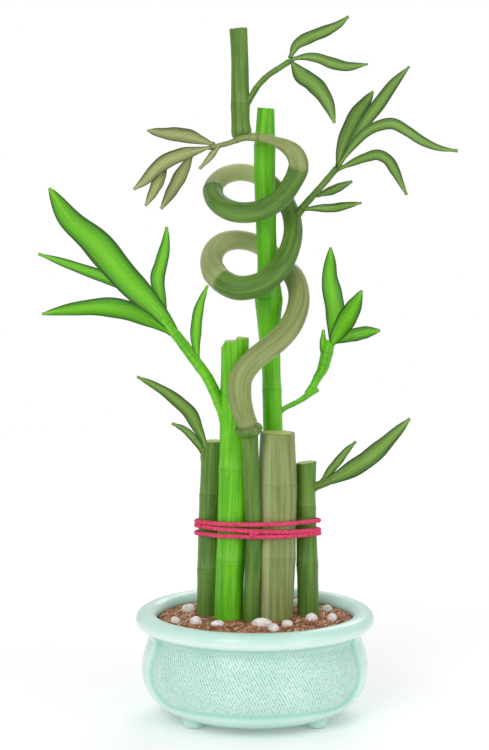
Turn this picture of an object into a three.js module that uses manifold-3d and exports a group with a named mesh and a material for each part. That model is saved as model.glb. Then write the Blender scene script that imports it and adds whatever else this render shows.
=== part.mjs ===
// A lucky bamboo: six canes with leafy shoots, tied with a cord, standing in a glazed bowl of soil.
// Millimetres, +Z up, the front of the plant towards -Y, the bowl's axis on the Z axis until the
// last lines move the plant over the middle of its own box.
import * as THREE from "three";
import { mergeVertices } from "three/addons/utils/BufferGeometryUtils.js";
import Module from "manifold-3d";

const wasm = await Module();
wasm.setup();

// ---------------------------------------------------------------- driving dimensions

const CLEARANCE = 0.3; // between two pieces that touch

const COLOURS = {
  glaze: [0xc2e6dc, 0.3],
  soil: [0x8a5a3c, 0.95],
  pebble: [0xe6dfda, 0.7],
  bright: [0x5cb82a, 0.5],
  dark: [0x558a3c, 0.5],
  olive: [0x8c9660, 0.5],
  cord: [0xe0286a, 0.8],
};

// Bowl: [radius, height] up the outside to the neck, then down the inside to the floor
const OUTSIDE = [[43, 4], [52, 5], [61, 9.5], [68.5, 18], [71.7, 30], [70, 42], [66.6, 52]];
const INSIDE = [[61, 54], [65, 42], [66, 30], [62, 18], [52, 11], [40, 10]];
const OUTSIDE_ROWS = 11;
const INSIDE_ROWS = 7;
// Where the columns of the wall stand, in degrees from the middle of a panel, closer at its edge
const BOWL_ANGLES = [0, 12, 24, 36, 46, 55, 61, 65.5, 69, 78, 90];
const RIM = { radius: 68.8, height: 62.9, across: 6.7, up: 5.6, from: -105, to: 215, steps: 8 };
const PANEL = { halfAngle: 69, low: 12.7, depth: 2, corner: 24, edge: 4 };
const FOOT = { x: 38, y: 29, top: 7.5, bottom: 6, height: 8, sides: 14 };

// Soil
const SOIL_LEVEL = 63;
const SOIL_DOME = 1.2; // how much the middle stands above the edge
const SOIL_FLOOR = 10;
const SOIL_SIDES = 36;
const SOIL_RINGS = [1, 0.66, 0.33, 0]; // where the dome's rings lie, as shares of its radius
const WALL_GAP = 0.45; // soil to wall: the soil's facets are coarser, so it keeps a little more away

// Canes: [x, y, z, radius] up the middle of each, and the heights of its node rings
const CANE_SIDES = 16;
const CANE_FOOT = 18; // how far above the table the canes end in the soil
const RING = { rise: 0.35, half: 2.2, least: 0.5 }; // and the least step between two stations
const CANES = {
  cane_left: {
    colour: "dark",
    middle: [[-30, 7, CANE_FOOT, 7.5], [-29, 7, 90, 7.5], [-26.6, 7, 174.5, 7.3]],
    rings: [92, 140],
    slope: 0.05,
  },
  cane_bright: {
    colour: "bright",
    middle: [
      [-17.5, -5, CANE_FOOT, 8.9], [-16, -5, 85, 9.0], [-13.8, -5, 138, 9.5],
      [-13, -5, 190, 8.9], [-12.6, -5, 239, 8.7],
    ],
    rings: [100, 158, 205],
    slope: 0.26,
  },
  cane_olive: {
    colour: "olive",
    middle: [[12.4, -4, CANE_FOOT, 11.2], [12.8, -4, 70, 11.4], [14, -4, 138, 12.2], [14, -4, 181.5, 11]],
    rings: [102, 148],
    slope: 0,
  },
  cane_right: {
    colour: "dark",
    middle: [[34.5, 6, CANE_FOOT, 7], [33.5, 6, 85, 6.8], [32.3, 6, 136, 6.2], [32.3, 6, 161, 6.4]],
    rings: [96, 132],
    slope: 0.12,
  },
  cane_tall: {
    colour: "bright",
    middle: [
      [12.4, 15, CANE_FOOT, 6], [12, 15, 120, 6.2], [11.4, 15, 184, 6.1], [10.3, 15, 220, 6],
      [8.8, 15, 247, 7.1], [8.6, 15, 264, 8.5], [8, 15, 284, 6.5], [7.2, 15, 305, 6.2],
      [5.9, 15, 349, 6.7], [6.8, 15, 384, 5.3],
    ],
    rings: [100, 152, 206, 264, 318, 360],
    slope: 0,
  },
};

// Curly cane: [x, y, z, radius] from the soil through the collar and the S, then two coils round the
// tall cane, then the thin crossing, which ends in the foot of the straight top
const CURLY_SIDES = 12;
const STEM_STEPS = 2; // stations of a swept line between two given ones
const CURLY_LOWER = [
  [-2.6, -12, CANE_FOOT, 5], [-2.2, -12.4, 70, 5], [-1.2, -12.9, 118, 5], [-2.8, -15.6, 165, 5.3],
  [-3.3, -17.4, 177, 5.4], [-3.7, -19.2, 182.6, 5.9], [-3.9, -20, 185, 8.1], [-4.1, -20.6, 187, 8.2],
  [-4.5, -20.9, 188.7, 6.6], [-8.2, -21.6, 199, 6.8], [-9.7, -21.6, 208, 7.1], [-8.9, -21, 218, 7.2],
  [-3.2, -18.6, 226.6, 7.2], [6, -14, 234, 7.2], [15.2, -9, 240.9, 7.1], [22.6, -2, 249.4, 7],
  [27.1, 7, 260, 6.9], [27.4, 15.5, 269.6, 6.7], [23.8, 23.4, 278.6, 6.5],
];
const COIL = {
  x: -1, y: 15, deep: 21,
  start: 263.2, rise: 44.4, tilt: 24.7, ease: 2, lag: 8,
  firstAngle: 45, lastAngle: 675, step: 22.5,
  // evenly spaced along the coils: radius, half width, and how far above the even climb it runs
  thick: [6.3, 6, 6.8, 7.8, 6.2, 5.4, 5.8, 6.6, 6.1],
  across: [26.8, 26.8, 26.5, 26.3, 25, 24.6, 25, 25.8, 26.3],
  lift: [0, 0, -0.5, -1.3, 4.4, 2, -0.8, -0.5, 0],
  rings: [202.5, 427.5, 540],
};
const CURLY_CROSSING = [
  [26.6, 0.6, 345.9, 6.1], [26, -0.6, 352.7, 5.9], [22.6, -1.4, 357.6, 5.3], [17.8, -2, 360.7, 4.1],
  [12.2, -2.2, 363, 3.1], [6.1, -2.2, 364.9, 2.6], [-0.2, -1, 365.8, 2.4], [-5, 1.2, 366.4, 2.2],
];
const CURLY_TOP = [
  [-8.3, 3.6, 365.2, 5.6], [-8.4, 3.8, 368, 6.4], [-8.9, 4.2, 374.2, 5.8], [-9.3, 5, 394.5, 5.5],
  [-9.6, 5.6, 412.9, 5.4], [-10.5, 6, 432, 5.6],
];

// Leaves
const BLADE = {
  thick: 0.9, step: 9.6, leastSteps: 6, // thickness, and the spacing of its stations
  base: 1.3, tip: 1.1, // least half widths
  fullBase: 0.85, fullTip: 0.62, // below 1 the outline is fuller than a sine
  fold: 0.22, // how far the edges stand up, as a share of the half width
  wave: 0.5, waves: 9, waveFrom: 4, // the edges' wave, fading out on blades narrower than `waveFrom`
  untwisted: 0.3, // the share of its length where the blade looks straight along TOWARDS
};
const STEM_SIDES = 6;
const TOWARDS = [0, -1, 0.35]; // the way every blade's upper face looks

// A leaf: its widest width, how far it twists in degrees along it, the share of its length where it
// is widest, and its midrib as [x, y, z]
const leaf = (width, twist, widest, ...midrib) => ({ width, twist, widest, midrib });

// Leafy shoots: the cane each grows on, its stems as [x, y, z, radius], and its leaves
const SHOOTS = {
  shoot_a: {
    colour: "dark",
    host: "cane_curly",
    stems: [
      [
        [-7, 4.5, 384.7, 2.3], [-3, 2.6, 389.6, 2], [1.4, 1.2, 396.6, 1.9], [7.9, -0.5, 403.3, 1.8],
        [15.3, -2, 408.2, 1.8], [21.4, -3, 412.1, 1.7],
      ],
    ],
    leaves: [
      leaf(
        8, 25, 0.35, [21.4, -3, 413.3], [25.4, -1, 421.3], [33.1, 1, 426.2], [43.1, 5, 430.4],
        [51.2, 8, 434.5], [57.8, 11, 439.8],
      ),
      leaf(
        7.8, -30, 0.55, [21.4, -3, 412.7], [30.5, -6, 414.3], [38.4, -8, 413.4], [47.5, -11, 410.1],
        [56.6, -14, 408], [68.6, -17, 409.7],
      ),
      leaf(
        11.2, 20, 0.33, [22, -3, 411.5], [28.3, -8, 402.8], [35.3, -13, 397.9], [41.2, -19, 391.2],
        [45.3, -23, 383.3], [48, -26, 374.2],
      ),
    ],
  },
  shoot_b: {
    colour: "dark",
    host: "cane_curly",
    stems: [
      [
        [22.1, 20, 310.3, 2.9], [27, 18, 317.3, 2.7], [30.7, 15, 322.5, 2.3],
        [39.9, 10, 333.2, 2.1], [50.9, 6, 346.4, 2],
      ],
    ],
    leaves: [
      leaf(
        9.8, 20, 0.5, [50.9, 6, 345.8], [53.5, 8.5, 357.5], [58.6, 12, 369.9], [64, 16, 380.4],
        [69.6, 22, 387.6], [74.3, 28, 393.9],
      ),
      leaf(
        8.4, -25, 0.6, [51.5, 5, 346.4], [60.1, 3.5, 361.9], [68.7, 3, 375.1], [77.5, 8, 386.5],
        [86.5, 13, 398.3], [96.3, 17, 409.2],
      ),
      leaf(
        7.2, 30, 0.45, [51.5, 5, 346.4], [58.7, 1, 357.6], [67.8, -3, 367.8], [76.1, -7, 372.4],
        [84.5, -11, 373.6], [92.9, -13, 369.3], [102, -16, 363.3], [111.6, -18, 359.2],
        [123.7, -19, 357.2],
      ),
      leaf(
        7.4, -15, 0.5, [51.5, 5, 345.2], [59.9, -1, 349.4], [68.2, -7, 352.9], [75.3, -12, 354.5],
        [81.2, -17, 351.4], [84.8, -23, 345.2], [88.2, -28, 338], [91.7, -31, 330.8],
      ),
      leaf(5.9, 15, 0.45, [38.7, 11, 328.2], [45.2, 18, 330.5], [51.7, 22, 333.3], [61.3, 27, 337.5]),
      leaf(
        6.2, -20, 0.5, [30.1, 15, 320.3], [38.8, 11, 321], [48, 8, 321.3], [56.5, 2, 322.8],
        [65.8, -4, 325],
      ),
    ],
  },
  shoot_c: {
    colour: "bright",
    host: "cane_tall",
    stems: [
      [
        [13, 15, 190, 1.9], [18.1, 15, 194.1, 1.6], [28.6, 16, 199.4, 1.7], [34.9, 16.5, 203.8, 2],
        [40, 17, 206.9, 1.8],
      ],
      [
        [32.4, 16, 203.6, 1.6], [36.8, 16.2, 208.6, 2.4], [39.9, 16.2, 214.4, 2.8],
        [42.8, 16, 219.5, 3.4], [45.8, 14, 231.8, 3.9], [47, 13, 237.6, 3.2],
      ],
    ],
    leaves: [
      leaf(4.6, 0, 0.38, [43.6, 14, 226.7], [42.9, 12.5, 236.4], [43.1, 11, 245]),
      leaf(
        12.6, 25, 0.42, [48, 13, 235], [49.8, 13, 247.7], [50.4, 14, 257.1], [48.9, 15.5, 265.8],
        [47, 18, 277], [47.4, 22, 286.9], [47.9, 26, 295.8],
      ),
      leaf(
        12.4, -20, 0.5, [47.3, 13, 233.1], [51, 10, 240.4], [55.1, 5, 248.1], [59.2, -1, 255.5],
        [62.9, -7, 263.2], [66, -12, 271.4],
      ),
      leaf(
        8.7, 15, 0.5, [49.2, 13, 235.7], [55.6, 15, 238.3], [63.3, 18, 240.9], [71.1, 22, 242.3],
        [79.5, 25, 243.2],
      ),
    ],
  },
  shoot_d: {
    colour: "dark",
    host: "cane_right",
    stems: [
      [
        [33.5, 5.5, 143.7, 2.6], [37.3, 5, 145.7, 2.7], [42.3, 3, 148, 2.6], [47.9, 1, 150.5, 2.2],
      ],
    ],
    leaves: [
      leaf(
        11.4, 25, 0.45, [39.8, 4, 146.5], [50.3, 0, 151.9], [59.6, -4, 157.7], [68.7, -8, 164.3],
        [77.2, -11, 172.1], [86.2, -15, 182], [95.9, -17, 192.3],
      ),
      leaf(
        5.6, -15, 0.45, [40.4, 4, 147.5], [47.6, 10, 155.2], [53.4, 14, 161.4], [58.6, 18, 167.1],
        [64.5, 22, 172.3],
      ),
    ],
  },
  shoot_e: {
    colour: "bright",
    host: "cane_bright",
    stems: [
      [
        [-18, -5, 189.1, 3.5], [-21.6, -6, 198.7, 3.6], [-25.6, -8, 208.7, 3.5],
        [-30.2, -9.5, 217.9, 3.4], [-35.8, -11, 225.9, 3.4], [-41.9, -12.5, 234.5, 3.4],
        [-48.3, -15, 243.4, 3.2], [-57.5, -17, 254.7, 2.4],
      ],
    ],
    leaves: [
      leaf(
        19, 20, 0.6, [-44, -13.5, 238.3], [-59.5, -18.5, 258.6], [-78.1, -23.5, 278.1],
        [-97.7, -28, 301.3], [-113.7, -31.5, 316.3], [-124.7, -36, 335.2],
      ),
      leaf(
        7.4, -30, 0.5, [-56.9, -15, 254.6], [-71.1, -14, 268.7], [-89.9, -8, 277.9],
        [-108.9, -2, 284.4], [-121.6, 2, 288.6], [-135.3, 6, 292.9],
      ),
      leaf(
        12.9, 25, 0.42, [-51.4, -15, 244], [-63.8, -13, 252.2], [-77.4, -12, 258.2],
        [-92.9, -12, 260.8], [-111.4, -13, 259.6], [-131.6, -15, 256.9],
      ),
      leaf(
        8.9, 15, 0.42, [-54.4, -15, 255.8], [-59.1, -11.5, 269.8], [-60.4, -9, 278.9],
        [-58.1, -5, 288.5], [-55.9, -1, 298.9], [-55, 3, 309.9],
      ),
      leaf(
        7, -20, 0.45, [-35.1, -11, 226.2], [-36.7, -14, 237.7], [-36.4, -17, 248.6],
        [-35.1, -20, 258.1], [-32.7, -22.5, 266.3], [-29.1, -25, 275.4],
      ),
    ],
  },
  shoot_f: {
    colour: "olive",
    host: "cane_curly",
    stems: [
      [
        [1.1, -2.6, 365.6, 1.9], [-3.2, -2.9, 365.5, 2.1], [-7.5, -4.1, 365, 2],
        [-11.8, -5.5, 363.6, 1.8], [-16.8, -7.5, 361.8, 1.6], [-28.4, -12, 359, 1.5],
      ],
    ],
    leaves: [
      leaf(
        9.9, 25, 0.53, [-24.7, -10.5, 360.8], [-34, -7, 363.6], [-41.4, -4, 365.8], [-49.6, 0, 367],
        [-59, 5, 367.9], [-67, 10, 369.6],
      ),
      leaf(
        9.3, -20, 0.5, [-26.5, -12, 359.4], [-36.3, -14.5, 357], [-44.8, -17, 354.8],
        [-53.3, -20, 351.5], [-60.5, -23, 346.4], [-67.2, -25, 339.4], [-74.1, -27, 334],
      ),
      leaf(
        7.4, 10, 0.45, [-53.9, -20, 350], [-57.8, -24, 341.5], [-60.4, -28, 335.6],
        [-63, -31, 330.2], [-66.5, -34, 324.3],
      ),
      leaf(
        8.4, -10, 0.45, [-37.8, -15, 356], [-41.9, -12.5, 348.6], [-45, -10.5, 343.4],
        [-48.8, -8.5, 336.9], [-53.2, -7, 329.4], [-58.2, -6, 321.4],
      ),
      leaf(
        4, 10, 0.4, [-21.7, -10, 360.2], [-25.3, -13, 356.2], [-29.2, -17, 351.4],
        [-34, -22, 346.3],
      ),
    ],
  },
  shoot_g: {
    colour: "dark",
    host: "cane_left",
    stems: [
      [
        [-29.6, 5, 155.9, 2.2], [-32.4, 4, 163.7, 2], [-31.8, 2.5, 171, 1.7],
      ],
    ],
    leaves: [
      leaf(
        8.6, 25, 0.42, [-31.5, 3, 169.6], [-32.4, 1.5, 175.6], [-36.4, 0, 184.6],
        [-40.7, -3, 193.6], [-48.1, -6, 201.2], [-56.1, -9, 207.6], [-65.3, -12, 213.5],
        [-73.2, -14, 217.9],
      ),
      leaf(
        5.1, -15, 0.45, [-32.4, 4, 164.4], [-35.3, 6.5, 171.7], [-39.8, 10, 177.2],
        [-44.9, 13, 181.4], [-52.6, 16, 184.8],
      ),
    ],
  },
};

// Cord round the canes: each turn's height at the left and at the right of the bundle
const TURNS = [[124.2, 124.8], [121.6, 118.8], [116.8, 116.6]];
const TIE = { radius: 1.4, off: 0.4, sides: 5, steps: 44, halfBundle: 36, tilt: 0.08 };
const KNOT = { x: -1.2, y: -20.8, z: 121, wide: 3.8, deep: 1.9, tall: 3.4, sides: 10, rows: 7 };

// Pebbles: [x, y, length, width, height], nine in front and beside the canes, five behind them
const PEBBLES = [
  [-43, 20, 9, 7.4, 7.2], [-50, -11, 6.2, 6.4, 5.8], [-37, -17, 7.4, 6.6, 6.8],
  [-23.5, -22, 8.8, 6, 5.2], [4.6, -22.6, 13, 7.4, 7], [11, -36, 7, 6.4, 6.4], [20, -22.5, 7.4, 6.4, 6],
  [35.7, -7, 7.6, 6.6, 6.4], [48.6, -5, 6.6, 6.2, 6.6],
  [-24, 34, 8.4, 7, 6.4], [-4, 46, 7, 6, 5.6], [8, 33, 6.2, 6.8, 6], [28, 38, 9, 7, 6.4],
  [46, 22, 6.8, 6.2, 5.8],
];
const PEBBLE_SUNK = 0.32; // share of a pebble's height that lies below the soil
const PEBBLE_LUMPS = 0.06;
const PEBBLE_TURN = 0.8; // the most that two pebbles' headings differ, in radians
const GOLDEN = 0.618034;

// ---------------------------------------------------------------- solids and meshes

// A closed geometry as a solid that can be joined and cut.
function solidOf(geometry) {
  const bare = geometry.clone();
  bare.deleteAttribute("normal");
  bare.deleteAttribute("uv");
  const merged = mergeVertices(bare, 1e-4);
  return new wasm.Manifold(
    new wasm.Mesh({
      numProp: 3,
      vertProperties: new Float32Array(merged.attributes.position.array),
      triVerts: new Uint32Array(merged.index.array),
    }),
  );
}

// A solid back as a geometry for drawing.
function geometryOf(solid) {
  const made = solid.getMesh();
  const geometry = new THREE.BufferGeometry();
  geometry.setAttribute("position", new THREE.BufferAttribute(new Float32Array(made.vertProperties), 3));
  geometry.setIndex(new THREE.BufferAttribute(new Uint32Array(made.triVerts), 1));
  const flat = geometry.toNonIndexed();
  flat.computeVertexNormals();
  return flat;
}

function joined(solids) {
  return solids.reduce((whole, piece) => whole.add(piece));
}

// The largest of the bodies that a cut leaves.
function largestOf(solid) {
  return solid.decompose().reduce((best, piece) => (piece.volume() > best.volume() ? piece : best));
}

function geometryFrom(vertices, triangles) {
  const geometry = new THREE.BufferGeometry();
  geometry.setAttribute("position", new THREE.Float32BufferAttribute(vertices, 3));
  geometry.setIndex(triangles);
  return geometry;
}

// Rings of equal count joined in order; the ends are closed by a fan, or the last ring meets the first.
function ringsGeometry(rings, endless = false) {
  const sides = rings[0].length;
  const vertices = rings.flat().flatMap((p) => [p.x, p.y, p.z]);
  const triangles = [];
  const spans = endless ? rings.length : rings.length - 1;
  for (let i = 0; i < spans; i++) {
    const here = i * sides;
    const next = ((i + 1) % rings.length) * sides;
    for (let j = 0; j < sides; j++) {
      const k = (j + 1) % sides;
      triangles.push(here + j, here + k, next + k);
      triangles.push(here + j, next + k, next + j);
    }
  }
  if (!endless) {
    const last = (rings.length - 1) * sides;
    for (let j = 1; j < sides - 1; j++) {
      triangles.push(0, j + 1, j);
      triangles.push(last, last + j, last + j + 1);
    }
  }
  return geometryFrom(vertices, triangles);
}

// Round sections of the given radii carried along a line of points, without turning about it.
function sweep(points, radii, sides, endless = false) {
  const side = new THREE.Vector3(1, 0, 0);
  const rings = points.map((point, i) => {
    const before = points[i > 0 ? i - 1 : endless ? points.length - 1 : 0];
    const after = points[i < points.length - 1 ? i + 1 : endless ? 0 : i];
    const along = after.clone().sub(before).normalize();
    side.addScaledVector(along, -side.dot(along)).normalize();
    const other = along.clone().cross(side);
    return Array.from({ length: sides }, (_, j) => {
      const turn = (j / sides) * 2 * Math.PI;
      return point
        .clone()
        .addScaledVector(side, Math.cos(turn) * radii[i])
        .addScaledVector(other, Math.sin(turn) * radii[i]);
    });
  });
  return ringsGeometry(rings, endless);
}

function smoothCurve(stations) {
  const points = stations.map(([x, y, z]) => new THREE.Vector3(x, y, z));
  return new THREE.CatmullRomCurve3(points, false, "centripetal");
}

// A smooth line through [x, y, z, radius] stations, as points and radii.
function smoothLine(stations) {
  const curve = smoothCurve(stations);
  const spans = stations.length - 1;
  const points = [];
  const radii = [];
  for (let i = 0; i <= spans * STEM_STEPS; i++) {
    const at = i / STEM_STEPS;
    const low = Math.min(Math.floor(at), spans - 1);
    points.push(curve.getPoint(i / (spans * STEM_STEPS)));
    radii.push(THREE.MathUtils.lerp(stations[low][3], stations[low + 1][3], at - low));
  }
  return { points, radii };
}

// ---------------------------------------------------------------- bowl

// How deep the outside is sunk at an angle from the front and a height: the panels at the front and
// the back lie `depth` below the band that frames their sides and foot, with rounded lower corners.
function panelDepth(angle, height) {
  const fromFace = Math.min(Math.abs(angle), Math.abs(Math.abs(angle) - Math.PI));
  const girth = Math.max(...OUTSIDE.map(([radius]) => radius));
  const sideways = (THREE.MathUtils.degToRad(PANEL.halfAngle) - fromFace) * girth;
  const x = Math.max(PANEL.corner - sideways, 0);
  const y = Math.max(PANEL.corner - (height - PANEL.low), 0);
  const inside = PANEL.corner - Math.hypot(x, y);
  return PANEL.depth * THREE.MathUtils.smoothstep(inside, 0, PANEL.edge);
}

// A smooth half section of the bowl through [radius, height] stations.
function wallLine(stations, rows) {
  const curve = new THREE.SplineCurve(stations.map(([radius, height]) => new THREE.Vector2(radius, height)));
  return curve.getPoints(rows);
}

// The bowl's section from the middle of its underside, up the outside, over the rolled rim and down
// the inside to the middle of its floor.
function bowlSection() {
  const roll = Array.from({ length: RIM.steps + 1 }, (_, i) => {
    const turn = THREE.MathUtils.degToRad(THREE.MathUtils.lerp(RIM.from, RIM.to, i / RIM.steps));
    const out = RIM.across * Math.cos(turn);
    return new THREE.Vector2(RIM.radius + out, RIM.height + RIM.up * Math.sin(turn));
  });
  const wall = wallLine(OUTSIDE, OUTSIDE_ROWS);
  return { section: [...wall, ...roll, ...wallLine(INSIDE, INSIDE_ROWS)], wallRows: wall.length };
}

// The columns of the wall all the way round, in radians from the front: one quarter, turned and
// mirrored into the other three.
function columnAngles() {
  const half = [...BOWL_ANGLES, ...BOWL_ANGLES.slice(0, -1).reverse().map((angle) => 180 - angle)];
  const around = [...half, ...half.slice(1, -1).reverse().map((angle) => -angle)];
  return around.map((angle) => THREE.MathUtils.degToRad(angle));
}

function bowlGeometry() {
  const { section, wallRows } = bowlSection();
  const floor = INSIDE.at(-1)[1];
  const under = OUTSIDE[0][1];
  const vertices = [0, 0, under, 0, 0, floor];
  const angles = columnAngles();
  section.forEach((point, row) => {
    for (const angle of angles) {
      const radius = point.x - (row < wallRows ? panelDepth(angle, point.y) : 0);
      vertices.push(radius * Math.sin(angle), -radius * Math.cos(angle), point.y);
    }
  });
  const triangles = [];
  const first = 2;
  const columns = angles.length;
  const last = first + (section.length - 1) * columns;
  for (let j = 0; j < columns; j++) {
    const k = (j + 1) % columns;
    triangles.push(0, first + k, first + j, 1, last + j, last + k);
    for (let row = first; row < last; row += columns) {
      const above = row + columns;
      triangles.push(row + j, row + k, above + k, row + j, above + k, above + j);
    }
  }
  return geometryFrom(vertices, triangles);
}

function footSolid(sideX, sideY) {
  const foot = new THREE.CylinderGeometry(FOOT.top, FOOT.bottom, FOOT.height, FOOT.sides);
  foot.rotateX(Math.PI / 2);
  foot.translate(sideX * FOOT.x, sideY * FOOT.y, FOOT.height / 2);
  return solidOf(foot);
}

function bowlSolid() {
  const feet = [[-1, -1], [1, -1], [1, 1], [-1, 1]].map(([x, y]) => footSolid(x, y));
  return joined([solidOf(bowlGeometry()), ...feet]);
}

// ---------------------------------------------------------------- canes

// Places up a cane: its own stations, and three at each node ring, the middle one proud.
function caneRings({ middle, rings }) {
  const heights = middle.map((station) => [station[2], 0]);
  for (const z of rings) {
    heights.push([z - RING.half, 0], [z, RING.rise], [z + RING.half, 0]);
  }
  heights.sort((a, b) => a[0] - b[0]);
  return heights.filter(([z], i) => i === 0 || z - heights[i - 1][0] > RING.least);
}

function caneAt(middle, z) {
  let i = 1;
  while (i < middle.length - 1 && middle[i][2] < z) i++;
  const low = middle[i - 1];
  const high = middle[i];
  const share = (z - low[2]) / (high[2] - low[2]);
  return low.map((value, k) => THREE.MathUtils.lerp(value, high[k], share));
}

// A straight cane, its top cut on a slope, swollen by `grow` where it is used to cut a hole.
function caneSolid(cane, grow = 0) {
  const stations = caneRings(cane);
  const rings = stations.map(([height, rise], i) => {
    const [x, y, z, radius] = caneAt(cane.middle, height);
    const end = i === 0 ? -grow : i === stations.length - 1 ? grow : 0;
    const slope = i === stations.length - 1 ? cane.slope : 0;
    return Array.from({ length: CANE_SIDES }, (_, j) => {
      const turn = (j / CANE_SIDES) * 2 * Math.PI;
      const wide = (radius + rise + grow) * Math.cos(turn);
      const deep = (radius + rise + grow) * Math.sin(turn);
      return new THREE.Vector3(x + wide, y + deep, z + end + wide * slope);
    });
  });
  return solidOf(ringsGeometry(rings));
}

// A value from a list spread evenly along the coils.
function alongCoils(list, angle) {
  const along = (angle / COIL.lastAngle) * (list.length - 1);
  const low = Math.min(Math.floor(along), list.length - 2);
  return THREE.MathUtils.lerp(list[low], list[low + 1], along - low);
}

// The coils of the curly cane as stations: an ellipse round the tall cane that climbs evenly but for
// its lift and leans back, so that each coil's back is higher than its front, by less from one to the
// next.
function coilStations() {
  const stations = [];
  for (let angle = COIL.firstAngle; angle <= COIL.lastAngle; angle += COIL.step) {
    const turn = THREE.MathUtils.degToRad(angle);
    const lean = Math.sin(turn - THREE.MathUtils.degToRad(COIL.lag));
    const climb = COIL.start + (COIL.rise * angle) / 360 + alongCoils(COIL.lift, angle);
    stations.push([
      COIL.x + alongCoils(COIL.across, angle) * Math.cos(turn),
      COIL.y + COIL.deep * Math.sin(turn),
      climb + (COIL.tilt - (COIL.ease * angle) / 360) * lean,
      alongCoils(COIL.thick, angle) + (COIL.rings.includes(angle) ? RING.rise : 0),
    ]);
  }
  return stations;
}

// A round tube along stations, swollen by `grow` where it is used to cut a hole.
function tubeSolid(stations, sides, grow = 0) {
  const { points, radii } = smoothLine(stations);
  points[0].z -= grow;
  return solidOf(sweep(points, radii.map((radius) => radius + grow), sides));
}

function curlySolid(grow = 0) {
  const winding = [...CURLY_LOWER, ...coilStations(), ...CURLY_CROSSING];
  return tubeSolid(winding, CURLY_SIDES, grow).add(tubeSolid(CURLY_TOP, CURLY_SIDES, grow));
}

function hostSolid(name, grow) {
  return name === "cane_curly" ? curlySolid(grow) : caneSolid(CANES[name], grow);
}

// ---------------------------------------------------------------- leafy shoots

// The half width of a blade at a share of its length: swelling as a sine to its widest, then
// narrowing as a cosine to the tip.
function halfWidth(share, width, widest) {
  const before = (share / widest) * (Math.PI / 2);
  const after = ((share - widest) / (1 - widest)) * (Math.PI / 2);
  const swell =
    share < widest ? Math.sin(before) ** BLADE.fullBase : Math.max(Math.cos(after), 0) ** BLADE.fullTip;
  return Math.max((width / 2) * swell, THREE.MathUtils.lerp(BLADE.base, BLADE.tip, share));
}

// A blade: two faces of left edge, midrib and right edge, folded along the midrib, its edges waved,
// split into triangles alike on both faces and closed all round.
function bladeSolid({ width, twist, widest, midrib }) {
  const curve = smoothCurve(midrib);
  const spans = Math.max(BLADE.leastSteps, Math.round(curve.getLength() / BLADE.step));
  const vertices = [];
  for (let i = 0; i <= spans; i++) {
    const share = i / spans;
    const middle = curve.getPointAt(share);
    const along = curve.getTangentAt(share);
    const face = new THREE.Vector3(...TOWARDS);
    face.addScaledVector(along, -face.dot(along)).normalize();
    face.applyAxisAngle(along, THREE.MathUtils.degToRad(twist * (share - BLADE.untwisted)));
    const across = face.clone().cross(along);
    const half = halfWidth(share, width, widest);
    for (const layer of [0.5, -0.5]) {
      for (const edge of [-1, 0, 1]) {
        const wave = BLADE.wave * Math.sin(share * BLADE.waves + edge) * Math.min(1, half / BLADE.waveFrom);
        const lift = edge === 0 ? 0 : BLADE.fold * half + wave;
        const point = middle
          .clone()
          .addScaledVector(across, edge * half)
          .addScaledVector(face, lift + layer * BLADE.thick);
        vertices.push(point.x, point.y, point.z);
      }
    }
  }
  return solidOf(geometryFrom(vertices, bladeTriangles(spans)));
}

// Upper face 0 1 2 and lower face 3 4 5 of each station.
function bladeTriangles(spans) {
  const triangles = [0, 1, 4, 0, 4, 3, 1, 2, 5, 1, 5, 4];
  for (let i = 0; i < spans; i++) {
    const a = i * 6;
    const b = a + 6;
    for (const left of [0, 1]) {
      triangles.push(a + left, b + left, b + left + 1, a + left, b + left + 1, a + left + 1);
      triangles.push(a + left + 3, b + left + 4, b + left + 3, a + left + 3, a + left + 4, b + left + 4);
    }
    triangles.push(a, a + 3, b + 3, a, b + 3, b, a + 2, b + 2, b + 5, a + 2, b + 5, a + 5);
  }
  const z = spans * 6;
  triangles.push(z, z + 4, z + 1, z, z + 3, z + 4, z + 1, z + 5, z + 2, z + 1, z + 4, z + 5);
  return triangles;
}

function shootSolid({ stems, leaves, host }) {
  const pieces = stems.map((stem) => tubeSolid(stem, STEM_SIDES));
  const whole = joined([...pieces, ...leaves.map(bladeSolid)]);
  return largestOf(whole.subtract(hostSolid(host, CLEARANCE)));
}

// ---------------------------------------------------------------- tie

// The point where a cord drawn tight round all the canes touches at an angle: on the cane that
// reaches furthest that way.
function bundlePoint(angle, height) {
  const towards = new THREE.Vector2(Math.cos(angle), Math.sin(angle));
  const canes = Object.values(CANES).map(({ middle }) => caneAt(middle, height));
  canes.push(caneAt(CURLY_LOWER, height));
  const reach = ([x, y, , radius]) => x * towards.x + y * towards.y + radius;
  const cane = canes.reduce((best, one) => (reach(one) > reach(best) ? one : best));
  const off = cane[3] + TIE.radius + TIE.off;
  return new THREE.Vector3(cane[0] + off * towards.x, cane[1] + off * towards.y, height);
}

// One turn of the cord, sloping from its height at the left to its height at the right, and a
// little higher at the front than at the back.
function turnSolid([left, right]) {
  const points = [];
  for (let i = 0; i < TIE.steps; i++) {
    const angle = (i / TIE.steps) * 2 * Math.PI;
    const middle = (left + right) / 2;
    const point = bundlePoint(angle, middle);
    point.z += ((right - left) / 2) * THREE.MathUtils.clamp(point.x / TIE.halfBundle, -1, 1);
    point.z -= TIE.tilt * point.y;
    points.push(point);
  }
  return solidOf(sweep(points, points.map(() => TIE.radius), TIE.sides, true));
}

function tieSolid() {
  const knot = new THREE.SphereGeometry(1, KNOT.sides, KNOT.rows);
  knot.scale(KNOT.wide, KNOT.deep, KNOT.tall);
  knot.translate(KNOT.x, KNOT.y, KNOT.z);
  return joined([...TURNS.map(turnSolid), solidOf(knot)]);
}

// ---------------------------------------------------------------- soil and pebbles

// A number from 0 to 1 for each seed, always the same: steps of the golden section.
function drawn(seed) {
  return (seed * GOLDEN) % 1;
}

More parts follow.
